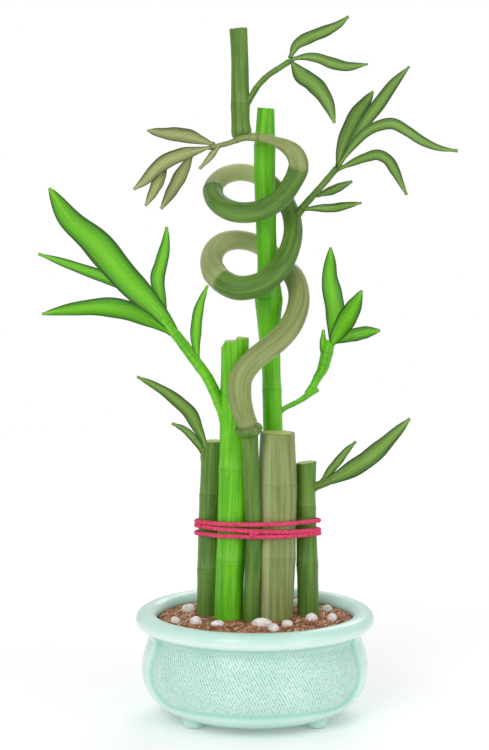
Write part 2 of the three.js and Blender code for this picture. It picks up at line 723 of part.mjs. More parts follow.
// The soil is a low dome, highest in the middle.
function soilHeight(radius) {
  const edge = INSIDE[0][0];
  return SOIL_LEVEL - SOIL_DOME * (radius / edge) ** 2;
}

// A lumpy flattened stone, its lumps slow waves over the ball; `grow` swells it for its socket.
function pebbleSolid([x, y, length, width, height], index, grow = 0) {
  const stone = new THREE.IcosahedronGeometry(1, 1);
  const place = stone.attributes.position;
  const point = new THREE.Vector3();
  const shift = drawn(index) * 2 * Math.PI;
  for (let i = 0; i < place.count; i++) {
    point.fromBufferAttribute(place, i);
    const lump = Math.sin(point.x * 2 + shift) + Math.sin(point.y * 3 + shift);
    point.multiplyScalar(1 + PEBBLE_LUMPS * lump);
    place.setXYZ(i, point.x, point.y, point.z);
  }
  stone.scale(length / 2 + grow, width / 2 + grow, height / 2 + grow);
  stone.rotateZ((drawn(index) - 0.5) * PEBBLE_TURN);
  const level = soilHeight(Math.hypot(x, y));
  stone.translate(x, y, level + height * (0.5 - PEBBLE_SUNK));
  return solidOf(stone);
}

// The filling: the bowl's inside, a little smaller all round, closed by the dome.
function soilGeometry() {
  const floor = SOIL_FLOOR + WALL_GAP;
  const edge = INSIDE[0][0] - WALL_GAP;
  const wall = wallLine(INSIDE, INSIDE_ROWS).reverse();
  const dome = SOIL_RINGS.map((share) => new THREE.Vector2(edge * share, soilHeight(edge * share)));
  const profile = [
    new THREE.Vector2(0, floor),
    ...wall.map(({ x, y }) => new THREE.Vector2(x - WALL_GAP, Math.max(y, floor))),
    ...dome,
  ];
  return new THREE.LatheGeometry(profile, SOIL_SIDES).rotateX(Math.PI / 2);
}

function soilSolid() {
  const canes = [...Object.keys(CANES), "cane_curly"].map((name) => hostSolid(name, CLEARANCE));
  const pebbles = PEBBLES.map((pebble, i) => pebbleSolid(pebble, i, CLEARANCE));
  const holes = [...canes, ...pebbles];
  return holes.reduce((soil, hole) => soil.subtract(hole), solidOf(soilGeometry()));
}

// ---------------------------------------------------------------- the plant

const plant = new THREE.Group();

function place(name, solid, colour) {
  const [shade, roughness] = COLOURS[colour];
  const material = new THREE.MeshStandardMaterial({ color: shade, roughness, metalness: 0 });
  const mesh = new THREE.Mesh(geometryOf(solid), material);
  mesh.name = name;
  plant.add(mesh);
}

place("pot", bowlSolid(), "glaze");
place("soil", soilSolid(), "soil");
PEBBLES.forEach((pebble, i) => {
  place(`pebble_${String(i + 1).padStart(2, "0")}`, pebbleSolid(pebble, i), "pebble");
});
for (const [name, cane] of Object.entries(CANES)) place(name, caneSolid(cane), cane.colour);
place("cane_curly", curlySolid(), "olive");
for (const [name, shoot] of Object.entries(SHOOTS)) place(name, shootSolid(shoot), shoot.colour);
place("tie", tieSolid(), "cord");

const box = new THREE.Box3().setFromObject(plant);
plant.position.set(-(box.min.x + box.max.x) / 2, -(box.min.y + box.max.y) / 2, -box.min.z);

export default plant;
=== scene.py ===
import math
from functools import partialmethod

import bmesh
import bpy
import numpy as np
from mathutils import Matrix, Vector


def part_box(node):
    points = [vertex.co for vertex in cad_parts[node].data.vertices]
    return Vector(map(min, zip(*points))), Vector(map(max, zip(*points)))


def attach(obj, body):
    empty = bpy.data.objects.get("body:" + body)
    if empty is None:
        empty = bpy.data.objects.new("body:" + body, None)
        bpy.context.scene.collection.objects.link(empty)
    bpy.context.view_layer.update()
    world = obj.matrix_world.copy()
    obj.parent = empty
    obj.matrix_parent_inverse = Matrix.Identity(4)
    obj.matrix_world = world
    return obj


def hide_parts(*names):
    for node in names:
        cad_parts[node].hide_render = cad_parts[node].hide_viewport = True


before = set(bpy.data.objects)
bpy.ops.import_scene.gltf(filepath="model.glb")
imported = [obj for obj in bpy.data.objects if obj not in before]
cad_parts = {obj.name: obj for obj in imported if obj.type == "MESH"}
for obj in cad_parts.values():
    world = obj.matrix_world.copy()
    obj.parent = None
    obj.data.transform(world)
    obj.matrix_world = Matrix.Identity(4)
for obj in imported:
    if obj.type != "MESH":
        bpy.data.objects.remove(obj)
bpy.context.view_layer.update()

# The looks of a lucky bamboo in a glazed bowl. Shapes are worked out in millimetres about the bowl's
# own axis, with z up from the table and the front towards -y, and are put in place by AXIS.

MM = 0.001
AXIS = np.mean(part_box("pot"), axis=0) * (1, 1, 0)
TURN = 2 * math.pi
WHITE = (1, 1, 1, 1)
CAMERA = {"place": (-6.6, -1400, 375), "pitch": 83.58, "lens": 108.05, "near": 0.05}


def make_camera():
    """The camera before the plant, level from side to side and looking a little down."""
    data = bpy.data.cameras.new("camera")
    data.lens = CAMERA["lens"]
    data.clip_start = CAMERA["near"]
    camera = bpy.data.objects.new("camera", data)
    camera.location = np.array(CAMERA["place"]) * MM + AXIS
    camera.rotation_euler = (math.radians(CAMERA["pitch"]), 0, 0)
    bpy.context.scene.collection.objects.link(camera)
    bpy.context.scene.camera = camera


make_camera()

# ---- dimensions

# The bowl's wall as [radius, height], outside and inside, and its panels in degrees and millimetres
OUTSIDE = [[43, 4], [52, 5], [61, 9.5], [68.5, 18], [71.7, 30], [70, 42], [66.6, 52]]
INSIDE = [[61, 54], [65, 42], [66, 30], [62, 18], [52, 11], [40, 10]]
POLE = 4  # the radius where the bowl and the soil are closed by a fan
RIM = {"radius": 68.8, "height": 62.9, "across": 6.7, "up": 5.6, "from": -105, "to": 215}
# Where a painted highlight lies on the roll of the rim, as [radius, height]
RIM_HIGHLIGHT = [74, 61]
PANEL = {"half_angle": 69, "low": 12.7, "depth": 2, "corner": 24, "edge": 3.2, "lip": 0.25}
GIRTH = 71.7
THROWN = {"deep": 0.12, "waves": 2, "climb": 9}
FEET = [[-38, -29], [38, -29], [38, 29], [-38, 29]]
FOOT_PROFILE = [[5, 11], [8.6, 10.4], [9.2, 8.6], [7.9, 6.6], [7, 4], [6.5, 1.8], [6.1, 0.7], [5.3, 0.12],
                [4.4, 0]]
# Bands as (place, width): in from a panel's outline for its lip and groove, and by height for where
# the glaze pools
BANDS = {
    "lip": (-1.2, 1.6), "groove": (2.6, 1.5),
    "neck": (55.5, 2.2), "roll": (60.5, 2.6), "under": (6, 3), "foot": (7.2, 1.6),
}

SOIL_LEVEL = 63
SOIL_DOME = 1.2
SOIL_EDGE = 61.7
SOIL_FLOOR = 10.45
SOIL_SIDE = [[POLE, SOIL_FLOOR], [30, SOIL_FLOOR], [40, SOIL_FLOOR], [52, 11.5], [61.4, 18], [65.4, 30],
             [64.4, 42], [60.9, 54], [SOIL_EDGE - 0.2, 59.5]]
CLODS = [(5.2, 1.0, 0.75), (2.6, 7.0, 0.75), (1.35, 13.0, 0.45), (0.8, 21.0, 0.2)]  # size, seed, height
CLOD_FOOT = 0.7  # how far below the dome the clods start
BANK = {"height": 0.8, "width": 2.4}
CRUMBS = {
    "count": 520, "within": 60, "off_cane": 0.6, "off_wall": 1.6, "size": (0.45, 1.25), "side": (0.65, 1.2),
    "lumps": 0.22, "raised": 0.15,
}
CHIP = {"stretch": (4.2, 0.6, 0.6), "heading": 1.3, "pale": 0.8}

# A cut made from two sides: how far its right half stands proud and its left edge is split away,
# each from one place across it to another
NOTCHED = {"proud": 2.1, "right": (0.6, 1.3), "split": 3.4, "left": (-5.6, -8.2)}
SAWN = {"deep": 0.12, "across": 1.9, "along": 0.6}  # the ripple of a saw cut
# Canes: tint, the heights of the node rings, the slope of the cut, and stations as [x, y, z, radius]
CANES = {
    "cane_left": ("dark", [92, 140], 0.05, [[-30, 7, 18, 7.5], [-29, 7, 90, 7.5], [-26.6, 7, 174.5, 7.3]]),
    "cane_bright": ("bright", [100, 158, 205], NOTCHED, [
        [-17.5, -5, 18, 8.9], [-16, -5, 85, 9.0], [-13.8, -5, 138, 9.5], [-13, -5, 190, 8.9],
        [-12.6, -5, 239, 8.7],
    ]),
    "cane_olive": ("olive", [102, 148], -0.03, [
        [12.4, -4, 18, 11.2], [12.8, -4, 70, 11.4], [14, -4, 138, 12.2], [14, -4, 181.5, 11],
    ]),
    "cane_right": ("dark", [96, 132], 0.12, [
        [34.5, 6, 18, 7], [33.5, 6, 85, 6.8], [32.3, 6, 136, 6.2], [32.3, 6, 161, 6.4],
    ]),
    "cane_tall": ("bright", [100, 152, 206, 264, 318, 360], -0.05, [
        [12.4, 15, 18, 6], [12, 15, 120, 6.2], [11.4, 15, 184, 6.1], [10.3, 15, 220, 6], [8.8, 15, 247, 7.1],
        [8.6, 15, 264, 8.5], [8, 15, 284, 6.5], [7.2, 15, 305, 6.2], [5.9, 15, 349, 6.7], [6.8, 15, 384, 5.3],
    ]),
}
LUMPS = 0.1  # how far a cane swells and sinks by slow waves
CANE_ROWS = 2.2  # how far apart its rows are, and about a ring
RING_ROWS = np.arange(-3.5, 4.6, 0.33)
# A cut end closes by rings: their share of the radius, and how far they rise, bevel first
CUT_SHARES = np.array([0.98, 0.955, 0.92, 0.9, 0.84, 0.76, 0.66, 0.54, 0.42, 0.3, 0.18, 0.07])
CUT_RISE = np.array([0.1, 0.28, 0.36, *(0.34 - 0.25 * (1 - CUT_SHARES[3:]))])
CUT_FROM = 14  # how far below a slanted cut the cane starts to lean with it

# Bumps along a cane as (height, how far above the ring or lip, width)
RING_RELIEF = [(0.3, 0, 4.5), (0.1, 0, 0.8), (-0.1, 1.5, 0.7)]  # a swelling, a ridge and a groove
# The ring's own dark line, laid in its groove and just under it, is partly painted shade
RING_LINE_AND_SHADE = [(0.25, 1.3, 0.75), (0.1, -0.7, 0.5)]  # the dark of the groove and under the ridge
LIP_RELIEF = [(0.35, 0, 1), (-0.8, 2.6, 0.6)]  # a turned-out lip and the deep groove above it
LIP_SHADE = [(1, 2.4, 0.7), (0.8, -2.3, 0.8)]  # the dark of that groove and under the lip
FAR = 999.0  # an offset out of reach of any ring or lip

# The curly cane: its lower part up to the coils, and from them to its top, as [x, y, z, radius]
CURLY_LOWER = [
    [-2.6, -12, 18, 5], [-2.2, -12.4, 70, 5], [-1.2, -12.9, 118, 5], [-2.8, -15.6, 165, 5.3],
    [-3.3, -17.4, 177, 5.4], [-3.7, -19.2, 182.6, 5.9], [-3.9, -20, 185, 8.1], [-4.1, -20.6, 187, 8.2],
    [-4.5, -20.9, 188.7, 6.6], [-8.2, -21.6, 199, 6.8], [-9.7, -21.6, 208, 7.1], [-8.9, -21, 218, 7.2],
    [-3.2, -18.6, 226.6, 7.2], [6, -14, 234, 7.2], [15.2, -9, 240.9, 7.1], [22.6, -2, 249.4, 7],
    [27.1, 7, 260, 6.9], [27.4, 15.5, 269.6, 6.7], [23.8, 23.4, 278.6, 6.5],
]
CURLY_CROSSING = [
    [26.6, 0.6, 345.9, 6.1], [26, -0.6, 352.7, 5.9], [22.6, -1.4, 357.6, 5.3], [17.8, -2, 360.7, 4.1],
    [12.2, -2.2, 363, 3.1], [6.1, -2.2, 364.9, 2.6], [-0.2, -1, 365.8, 2.4], [-5, 1.2, 366.4, 2.2],
]
CURLY_TOP = [
    [-8.3, 3.6, 365.2, 5.6], [-8.4, 3.8, 368, 6.4], [-8.9, 4.2, 374.2, 5.8], [-9.3, 5, 394.5, 5.5],
    [-9.6, 5.6, 412.9, 5.4], [-10.5, 6, 432, 5.6],
]
TOP_RING = 19.5
COIL = {"x": -1, "y": 15, "deep": 21, "start": 263.2, "rise": 44.4, "tilt": 24.7, "ease": 2, "lag": 8}
COIL_ANGLES = np.arange(45, 676, 22.5)
# Evenly spaced along the coils: radius, half width, and how far above the even climb it runs
COIL_THICK = [6.3, 6, 6.8, 7.8, 6.2, 5.4, 5.8, 6.6, 6.1]
COIL_ACROSS = [26.8, 26.8, 26.5, 26.3, 25, 24.6, 25, 25.8, 26.3]
COIL_LIFT = [0, 0, -0.5, -1.3, 4.4, 2, -0.8, -0.5, 0]
# Places on the curly cane are numbered below zero in the lower part, a number to a station, then in
# degrees round the coils, and from CROSSING on along the crossing
CROSSING = 700
CROSSING_STEP = 13.5
COLLAR = 7.45 - len(CURLY_LOWER)  # where the dark collar ends
LIP = 6.5 - len(CURLY_LOWER)  # and its lip
OLIVE_LENGTHS = [[COLLAR, 222], [430, 540], [CROSSING, 800]]
OLIVE_EDGE = 1.3
CURLY_RINGS = [205, 430, 540, CROSSING]
# How much painted light lifts the shade on the coils at those places
COIL_PAINTED_LIGHT = [
    [20, 0], [80, 0.4], [150, 0.4], [200, 0.1], [400, 0.62], [490, 0.62], [540, 0.15], [CROSSING, 0],
]

BLADE = {
    "thick": 0.8, "base": 1.3, "tip": 1.0, "full_base": 0.85, "full_tip": 0.62, "fold": 0.22, "closed": 0.9,
    "wave": 0.5, "waves": 9, "wave_from": 4, "ripple": 0.03, "ripples": 23, "untwisted": 0.3,
}
TOWARDS = (0, -1, 0.35)
STEM = {"flare": 0.9, "flare_over": 3.2, "first_rim": 5.5, "rims": 8.5, "sheath": 0.16, "sheath_over": 4}
SHEATH_LINE = [(0.7, 0.25, 0.4)]  # bumps on a stem: the dark at an old sheath's rim
SHEATH_BLOOM = [(0.8, 1.6, 1.2)]  # and the pale bloom above it

# Shoots: tint, stems as [x, y, z, radius], and leaves as width, twist in degrees, the share of the
# length where the blade is widest, and then the midrib
SHOOTS = {
    "shoot_a": ("dark", [
        [[-7, 4.5, 384.7, 2.3], [-3, 2.6, 389.6, 2], [1.4, 1.2, 396.6, 1.9], [7.9, -0.5, 403.3, 1.8],
         [15.3, -2, 408.2, 1.8], [21.4, -3, 412.1, 1.7]],
    ], [
        (8, 25, 0.35, [21.4, -3, 413.3], [25.4, -1, 421.3], [33.1, 1, 426.2], [43.1, 5, 430.4],
         [51.2, 8, 434.5], [57.8, 11, 439.8]),
        (7.8, -30, 0.55, [21.4, -3, 412.7], [30.5, -6, 414.3], [38.4, -8, 413.4], [47.5, -11, 410.1],
         [56.6, -14, 408], [68.6, -17, 409.7]),
        (11.2, 20, 0.33, [22, -3, 411.5], [28.3, -8, 402.8], [35.3, -13, 397.9], [41.2, -19, 391.2],
         [45.3, -23, 383.3], [48, -26, 374.2]),
    ]),
    "shoot_b": ("dark", [
        [[22.1, 20, 310.3, 2.9], [27, 18, 317.3, 2.7], [30.7, 15, 322.5, 2.3], [39.9, 10, 333.2, 2.1],
         [50.9, 6, 346.4, 2]],
    ], [
        (9.8, 20, 0.5, [50.9, 6, 345.8], [53.5, 8.5, 357.5], [58.6, 12, 369.9], [64, 16, 380.4],
         [69.6, 22, 387.6], [74.3, 28, 393.9]),
        (8.4, -25, 0.6, [51.5, 5, 346.4], [60.1, 3.5, 361.9], [68.7, 3, 375.1], [77.5, 8, 386.5],
         [86.5, 13, 398.3], [96.3, 17, 409.2]),
        (7.2, 30, 0.45, [51.5, 5, 346.4], [58.7, 1, 357.6], [67.8, -3, 367.8], [76.1, -7, 372.4],
         [84.5, -11, 373.6], [92.9, -13, 369.3], [102, -16, 363.3], [111.6, -18, 359.2],
         [123.7, -19, 357.2]),
        (7.4, -15, 0.5, [51.5, 5, 345.2], [59.9, -1, 349.4], [68.2, -7, 352.9], [75.3, -12, 354.5],
         [81.2, -17, 351.4], [84.8, -23, 345.2], [88.2, -28, 338], [91.7, -31, 330.8]),
        (5.9, 15, 0.45, [38.7, 11, 328.2], [45.2, 18, 330.5], [51.7, 22, 333.3], [61.3, 27, 337.5]),
        (6.2, -20, 0.5, [30.1, 15, 320.3], [38.8, 11, 321], [48, 8, 321.3], [56.5, 2, 322.8],
         [65.8, -4, 325]),
    ]),
    "shoot_c": ("bright", [
        [[13, 15, 190, 1.9], [18.1, 15, 194.1, 1.6], [28.6, 16, 199.4, 1.7], [34.9, 16.5, 203.8, 2],
         [40, 17, 206.9, 1.8]],
        [[32.4, 16, 203.6, 1.6], [36.8, 16.2, 208.6, 2.4], [39.9, 16.2, 214.4, 2.8],
         [42.8, 16, 219.5, 3.4], [45.8, 14, 231.8, 3.9], [47, 13, 237.6, 3.2]],
    ], [
        (4.6, 0, 0.38, [43.6, 14, 226.7], [42.9, 12.5, 236.4], [43.1, 11, 245]),
        (12.6, 25, 0.42, [48, 13, 235], [49.8, 13, 247.7], [50.4, 14, 257.1], [48.9, 15.5, 265.8],
         [47, 18, 277], [47.4, 22, 286.9], [47.9, 26, 295.8]),
        (12.4, -20, 0.5, [47.3, 13, 233.1], [51, 10, 240.4], [55.1, 5, 248.1], [59.2, -1, 255.5],
         [62.9, -7, 263.2], [66, -12, 271.4]),
        (8.7, 15, 0.5, [49.2, 13, 235.7], [55.6, 15, 238.3], [63.3, 18, 240.9], [71.1, 22, 242.3],
         [79.5, 25, 243.2]),
    ]),
    "shoot_d": ("dark", [
        [[33.5, 5.5, 143.7, 2.6], [37.3, 5, 145.7, 2.7], [42.3, 3, 148, 2.6], [47.9, 1, 150.5, 2.2]],
    ], [
        (11.4, 25, 0.45, [39.8, 4, 146.5], [50.3, 0, 151.9], [59.6, -4, 157.7], [68.7, -8, 164.3],
         [77.2, -11, 172.1], [86.2, -15, 182], [95.9, -17, 192.3]),
        (5.6, -15, 0.45, [40.4, 4, 147.5], [47.6, 10, 155.2], [53.4, 14, 161.4], [58.6, 18, 167.1],
         [64.5, 22, 172.3]),
    ]),
    "shoot_e": ("bright", [
        [[-18, -5, 189.1, 3.5], [-21.6, -6, 198.7, 3.6], [-25.6, -8, 208.7, 3.5],
         [-30.2, -9.5, 217.9, 3.4], [-35.8, -11, 225.9, 3.4], [-41.9, -12.5, 234.5, 3.4],
         [-48.3, -15, 243.4, 3.2], [-57.5, -17, 254.7, 2.4]],
    ], [
        (19, 20, 0.6, [-44, -13.5, 238.3], [-59.5, -18.5, 258.6], [-78.1, -23.5, 278.1],
         [-97.7, -28, 301.3], [-113.7, -31.5, 316.3], [-124.7, -36, 335.2]),
        (7.4, -30, 0.5, [-56.9, -15, 254.6], [-71.1, -14, 268.7], [-89.9, -8, 277.9],
         [-108.9, -2, 284.4], [-121.6, 2, 288.6], [-135.3, 6, 292.9]),
        (12.9, 25, 0.42, [-51.4, -15, 244], [-63.8, -13, 252.2], [-77.4, -12, 258.2],
         [-92.9, -12, 260.8], [-111.4, -13, 259.6], [-131.6, -15, 256.9]),
        (8.9, 15, 0.42, [-54.4, -15, 255.8], [-59.1, -11.5, 269.8], [-60.4, -9, 278.9],
         [-58.1, -5, 288.5], [-55.9, -1, 298.9], [-55, 3, 309.9]),
        (7, -20, 0.45, [-35.1, -11, 226.2], [-36.7, -14, 237.7], [-36.4, -17, 248.6],
         [-35.1, -20, 258.1], [-32.7, -22.5, 266.3], [-29.1, -25, 275.4]),
    ]),
    "shoot_f": ("olive", [
        [[1.1, -2.6, 365.6, 1.9], [-3.2, -2.9, 365.5, 2.1], [-7.5, -4.1, 365, 2],
         [-11.8, -5.5, 363.6, 1.8], [-16.8, -7.5, 361.8, 1.6], [-28.4, -12, 359, 1.5]],
    ], [
        (9.9, 25, 0.53, [-24.7, -10.5, 360.8], [-34, -7, 363.6], [-41.4, -4, 365.8], [-49.6, 0, 367],
         [-59, 5, 367.9], [-67, 10, 369.6]),
        (9.3, -20, 0.5, [-26.5, -12, 359.4], [-36.3, -14.5, 357], [-44.8, -17, 354.8],
         [-53.3, -20, 351.5], [-60.5, -23, 346.4], [-67.2, -25, 339.4], [-74.1, -27, 334]),
        (7.4, 10, 0.45, [-53.9, -18, 350], [-57.8, -21.5, 341.5], [-60.4, -27, 335.6],
         [-63, -31, 330.2], [-66.5, -34, 324.3]),
        (8.4, -10, 0.45, [-37.8, -15, 356], [-41.9, -12.5, 348.6], [-45, -10.5, 343.4],
         [-48.8, -8.5, 336.9], [-53.2, -7, 329.4], [-58.2, -6, 321.4]),
        (4, 10, 0.4, [-21.7, -10, 360.2], [-25.3, -13, 356.2], [-29.2, -17, 351.4], [-34, -22, 346.3]),
    ]),
    "shoot_g": ("dark", [
        [[-29.6, 5, 155.9, 2.2], [-32.4, 4, 163.7, 2], [-31.8, 2.5, 171, 1.7]],
    ], [
        (8.6, 25, 0.42, [-31.5, 3, 169.6], [-32.4, 1.5, 175.6], [-36.4, 0, 184.6], [-40.7, -3, 193.6],
         [-48.1, -6, 201.2], [-56.1, -9, 207.6], [-65.3, -12, 213.5], [-73.2, -14, 217.9]),
        (5.1, -15, 0.45, [-32.4, 4, 164.4], [-35.3, 6.5, 171.7], [-39.8, 10, 177.2], [-44.9, 13, 181.4],
         [-52.6, 16, 184.8]),
    ]),
}

# Cord: each turn's height at the left and the right of the bundle
TURNS = [(124.2, 124.8), (121.6, 118.8), (116.8, 116.6)]
CORD = {"radius": 1.4, "off": 0.25, "half_bundle": 36, "tilt": 0.08, "lay": 8, "plies": 3, "core": 0.76,
        "lobe": 0.27, "step": 0.55}
KNOT = {"place": (-1.2, -20.6, 121), "radius": 1.15, "size": (0.8, 0.5, 0.62)}

# Pebbles as [x, y, length, width, height]
PEBBLES = [
    [-43, 20, 9, 7.4, 7.2], [-50, -11, 6.2, 6.4, 5.8], [-37, -17, 7.4, 6.6, 6.8], [-23.5, -22, 8.8, 6, 5.2],
    [4.6, -22.6, 13, 7.4, 7], [11, -36, 7, 6.4, 6.4], [20, -22.5, 7.4, 6.4, 6], [35.7, -7, 7.6, 6.6, 6.4],
    [48.6, -5, 6.6, 6.2, 6.6], [-24, 34, 8.4, 7, 6.4], [-4, 46, 7, 6, 5.6], [8, 33, 6.2, 6.8, 6],
    [28, 38, 9, 7, 6.4], [46, 22, 6.8, 6.2, 5.8],
]
PEBBLE = {"sunk": 0.32, "lumps": 0.06, "dents": 0.035, "turn": 0.8, "bed": 61}
GOLDEN = 0.618034

# ---- surfaces


def smoothstep(low, high, value):
    """0 below low, 1 above high, and the cubic 3t^2 - 2t^3 between them."""
    t = np.clip((value - low) / (high - low), 0, 1)
    return t * t * (3 - 2 * t)


def bell(distance, width):
    """exp(-(distance / width)^2)"""
    return np.exp(-((distance / width) ** 2))


def band(value, name):
    """A bell about the place of a band."""
    place, width = BANDS[name]
    return bell(value - place, width)


def bumps(offset, rows):
    """The sum of h exp(-((offset - at) / width)^2) over rows of (h, at, width)."""
    return sum(height * bell(offset - at, width) for height, at, width in rows)


def unit(vectors):
    """Vectors divided by their own lengths."""
    return vectors / np.maximum(np.linalg.norm(vectors, axis=-1, keepdims=True), 1e-9)


def spun(x, y, angle):
    """x cos t - y sin t and x sin t + y cos t: a point turned about the z axis."""
    return x * np.cos(angle) - y * np.sin(angle), x * np.sin(angle) + y * np.cos(angle)


def smooth_line(stations, steps=24):
    """A centripetal Catmull-Rom line through rows of [x, y, z, ...]: cubic spans, with slopes from
    the neighbours and knots the square root of a distance apart."""
    p = np.array(stations, float)
    ends = np.vstack([2 * p[:1] - p[1:2], p, 2 * p[-1:] - p[-2:-1]])
    knots = np.sqrt(np.linalg.norm(np.diff(ends[:, :3], axis=0), axis=1))[:, None]
    before, here, after = knots[:-2], knots[1:-1], knots[2:]
    a, b, c, d = ends[:-3], ends[1:-2], ends[2:-1], ends[3:]
    start = here * ((b - a) / before - (c - a) / (before + here) + (c - b) / here)
    end = here * ((c - b) / here - (d - b) / (here + after) + (d - c) / after)
    t = np.linspace(0, 1, steps, endpoint=False)[:, None, None]
    spans = (
        (2 * t**3 - 3 * t**2 + 1) * b + (t**3 - 2 * t**2 + t) * start
        + (3 * t**2 - 2 * t**3) * c + (t**3 - t**2) * end
    )
    return np.vstack([spans.transpose(1, 0, 2).reshape(-1, p.shape[1]), p[-1:]])


def run_of(line):
    """How far along the line each of its points lies."""
    steps = np.linalg.norm(np.diff(line[:, :3], axis=0), axis=1)
    return np.concatenate([[0], np.cumsum(steps)])


def at_places(line, places):
    """The line's columns interpolated at the given distances along it."""
    run = run_of(line)
    return np.column_stack([np.interp(places, run, column) for column in line.T])


def evenly(line, spacing):
    """The line with its points about `spacing` apart, and how far along it each lies."""
    length = run_of(line)[-1]
    places = np.linspace(0, length, max(int(length / spacing), 6) + 1)
    return at_places(line, places), places


def profile(stations, spacing):
    """A smooth line through rows of [radius, height], as such rows about `spacing` apart."""
    return evenly(smooth_line([[r, 0, z] for r, z in stations]), spacing)[0]


def carried_sides(along):
    """A side for each tangent, carried without turning: the last one less its part along the new
    tangent, made a unit again."""
    sides = np.empty_like(along)
    side = np.array([1.0, 0, 0])
    for i, tangent in enumerate(along):
        side = unit(side - tangent * side.dot(tangent))
        sides[i] = side
    return sides


def around_circle(columns):
    """Angles evenly spaced round a circle."""
    return np.linspace(0, TURN, columns, endpoint=False)


def tube(middle, along, side, radii, angles):
    """p(s, a) = c(s) + r(s, a) (cos a u(s) + sin a v(s)) about the line c, with its tangent t, a side
    u at right angles to it and v = t x u."""
    cos, sin = np.cos(angles)[:, None], np.sin(angles)[:, None]
    return middle[:, None] + radii[..., None] * (cos * side[:, None] + sin * np.cross(along, side)[:, None])


def cane_tube(middle, radii, columns):
    """A tube whose side is carried along its line, and its angles."""
    along = unit(np.gradient(middle, axis=0))
    angles = around_circle(columns)
    return tube(middle, along, carried_sides(along), radii, angles), angles


def outward(points, faces):
    """The faces, turned over if the volume they enclose, a sum of a . (b x c) / 6, is negative."""
    a, b, c = points[faces].transpose(1, 0, 2)
    return faces if np.einsum("ij,ij->i", a, np.cross(b, c)).sum() > 0 else faces[:, ::-1]


def shell(grid, finish=0, looped=False, **fields):
    """A closed surface from a grid of rings: each is joined to the next, and the first and last are
    closed by fans about their middles, or joined when looped. A field has up to three values over
    the grid."""
    rows, columns = grid.shape[:2]
    i, j = np.meshgrid(np.arange(rows if looped else rows - 1), np.arange(columns), indexing="ij")
    i, j = i.ravel(), j.ravel()
    k, n = (j + 1) % columns, (i + 1) % rows
    a, b, c, d = i * columns + j, i * columns + k, n * columns + k, n * columns + j
    faces = [np.column_stack([a, b, c]), np.column_stack([a, c, d])]
    if not looped:
        j = np.arange(columns)
        k = (j + 1) % columns
        first, last = rows * columns, (rows - 1) * columns
        faces.append(np.column_stack([np.full(columns, first), k, j]))
        faces.append(np.column_stack([np.full(columns, first + 1), last + j, last + k]))

    def with_middles(values):
        flat = values.reshape(-1, 3)
        return flat if looped else np.vstack([flat, values[0].mean(axis=0), values[-1].mean(axis=0)])

    points = with_middles(grid)
    fields = {name: with_middles(three((rows, columns), *values)) for name, values in fields.items()}
    return {"points": points, "faces": outward(points, np.vstack(faces)), "finish": finish, "fields": fields}


def three(shape, x=0.0, y=0.0, z=0.0):
    """Three values for each point of a grid of that shape."""
    return np.stack([np.broadcast_to(value, shape) for value in (x, y, z)], axis=-1)


def make(name, shells, finishes, slot, *nodes):
    """One piece from its shells, put in place in metres, with each field kept as an attribute and
    each shell's finish as its material."""
    starts = np.cumsum([0] + [len(one["points"]) for one in shells])
    points = np.vstack([one["points"] for one in shells]) * MM + AXIS
    faces = np.vstack([one["faces"] + start for one, start in zip(shells, starts)])
    mesh = bpy.data.meshes.new(name)
    mesh.from_pydata(points, [], faces)
    mesh.polygons.foreach_set("material_index", np.repeat(
        np.array([one["finish"] for one in shells], np.int32), [len(one["faces"]) for one in shells]))
    mesh.shade_smooth()
    for field in sorted({key for one in shells for key in one["fields"]}):
        values = [one["fields"].get(field, np.zeros_like(one["points"])) for one in shells]
        attribute = mesh.attributes.new(field, "FLOAT_VECTOR", "POINT")
        attribute.data.foreach_set("vector", np.vstack(values).ravel().astype(np.float32))
    for finish in finishes:
        mesh.materials.append(finish)
    piece = bpy.data.objects.new(name, mesh)
    bpy.context.scene.collection.objects.link(piece)
    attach(piece, "root")
    if nodes:
        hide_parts(*nodes)


def ball(level):
    """The points and triangles of a unit ball of even triangles."""
    net = bmesh.new()
    bmesh.ops.create_icosphere(net, subdivisions=level, radius=1)
    points = np.array([vertex.co for vertex in net.verts])
    faces = np.array([[vertex.index for vertex in face.verts] for face in net.faces])
    net.free()
    return points, faces


# ---- finishes


def shade(red, green, blue):
    """A colour of 0 to 255 as it looks, turned into linear light."""
    c = np.array([red, green, blue]) / 255
    return (*np.where(c <= 0.04045, c / 12.92, ((c + 0.055) / 1.055) ** 2.4).tolist(), 1)


def shades(**tones):
    """Named colours, each given as it looks."""
    return {name: shade(*tone) for name, tone in tones.items()}


# Light, deep, and the line of a node ring
SKIN_TONES = {
    "bright": [shade(118, 206, 30), shade(72, 158, 14), shade(52, 116, 22)],
    "dark": [shade(106, 144, 56), shade(62, 100, 28), shade(42, 72, 24)],
    "olive": [shade(146, 159, 96), shade(108, 122, 64), shade(84, 92, 50)],
}
CURLY_OLIVE = [shade(151, 163, 100), shade(115, 128, 70), shade(92, 100, 54)]
# The pale tone of painted light, laid where shade falls on the olive canes
PAINTED_LIGHT_TONE = shade(212, 218, 160)
BLOOM = shade(214, 226, 178)
PITH = shades(pale=(190, 204, 122), mottled=(168, 178, 96), vessels=(120, 126, 60))
# Light, deep, and the underside
LEAF_TONES = {
    "bright": [shade(116, 202, 30), shade(44, 118, 8), shade(146, 208, 60)],
    "dark": [shade(126, 166, 70), shade(50, 90, 26), shade(146, 180, 94)],
    "olive": [shade(166, 176, 112), shade(98, 110, 56), shade(182, 188, 130)],
}
MARGIN = shade(30, 56, 18)
GLAZE = shades(
    light=(206, 237, 227), body=(190, 229, 217), thin=(236, 243, 240), pool=(128, 200, 184),
    comb=(122, 172, 154), sunk=(168, 214, 200), speck=(120, 150, 130), clay=(214, 196, 170),
)
SOIL = shades(
    dark=(102, 58, 38), mid=(176, 114, 78), tan=(236, 190, 148), chip=(240, 206, 168), hollow=(64, 36, 24),
)
STONE = shades(white=(250, 246, 243), grey=(214, 206, 202), pit=(176, 160, 150))
THREAD = shades(body=(222, 34, 92), light=(240, 104, 138), deep=(176, 6, 60))


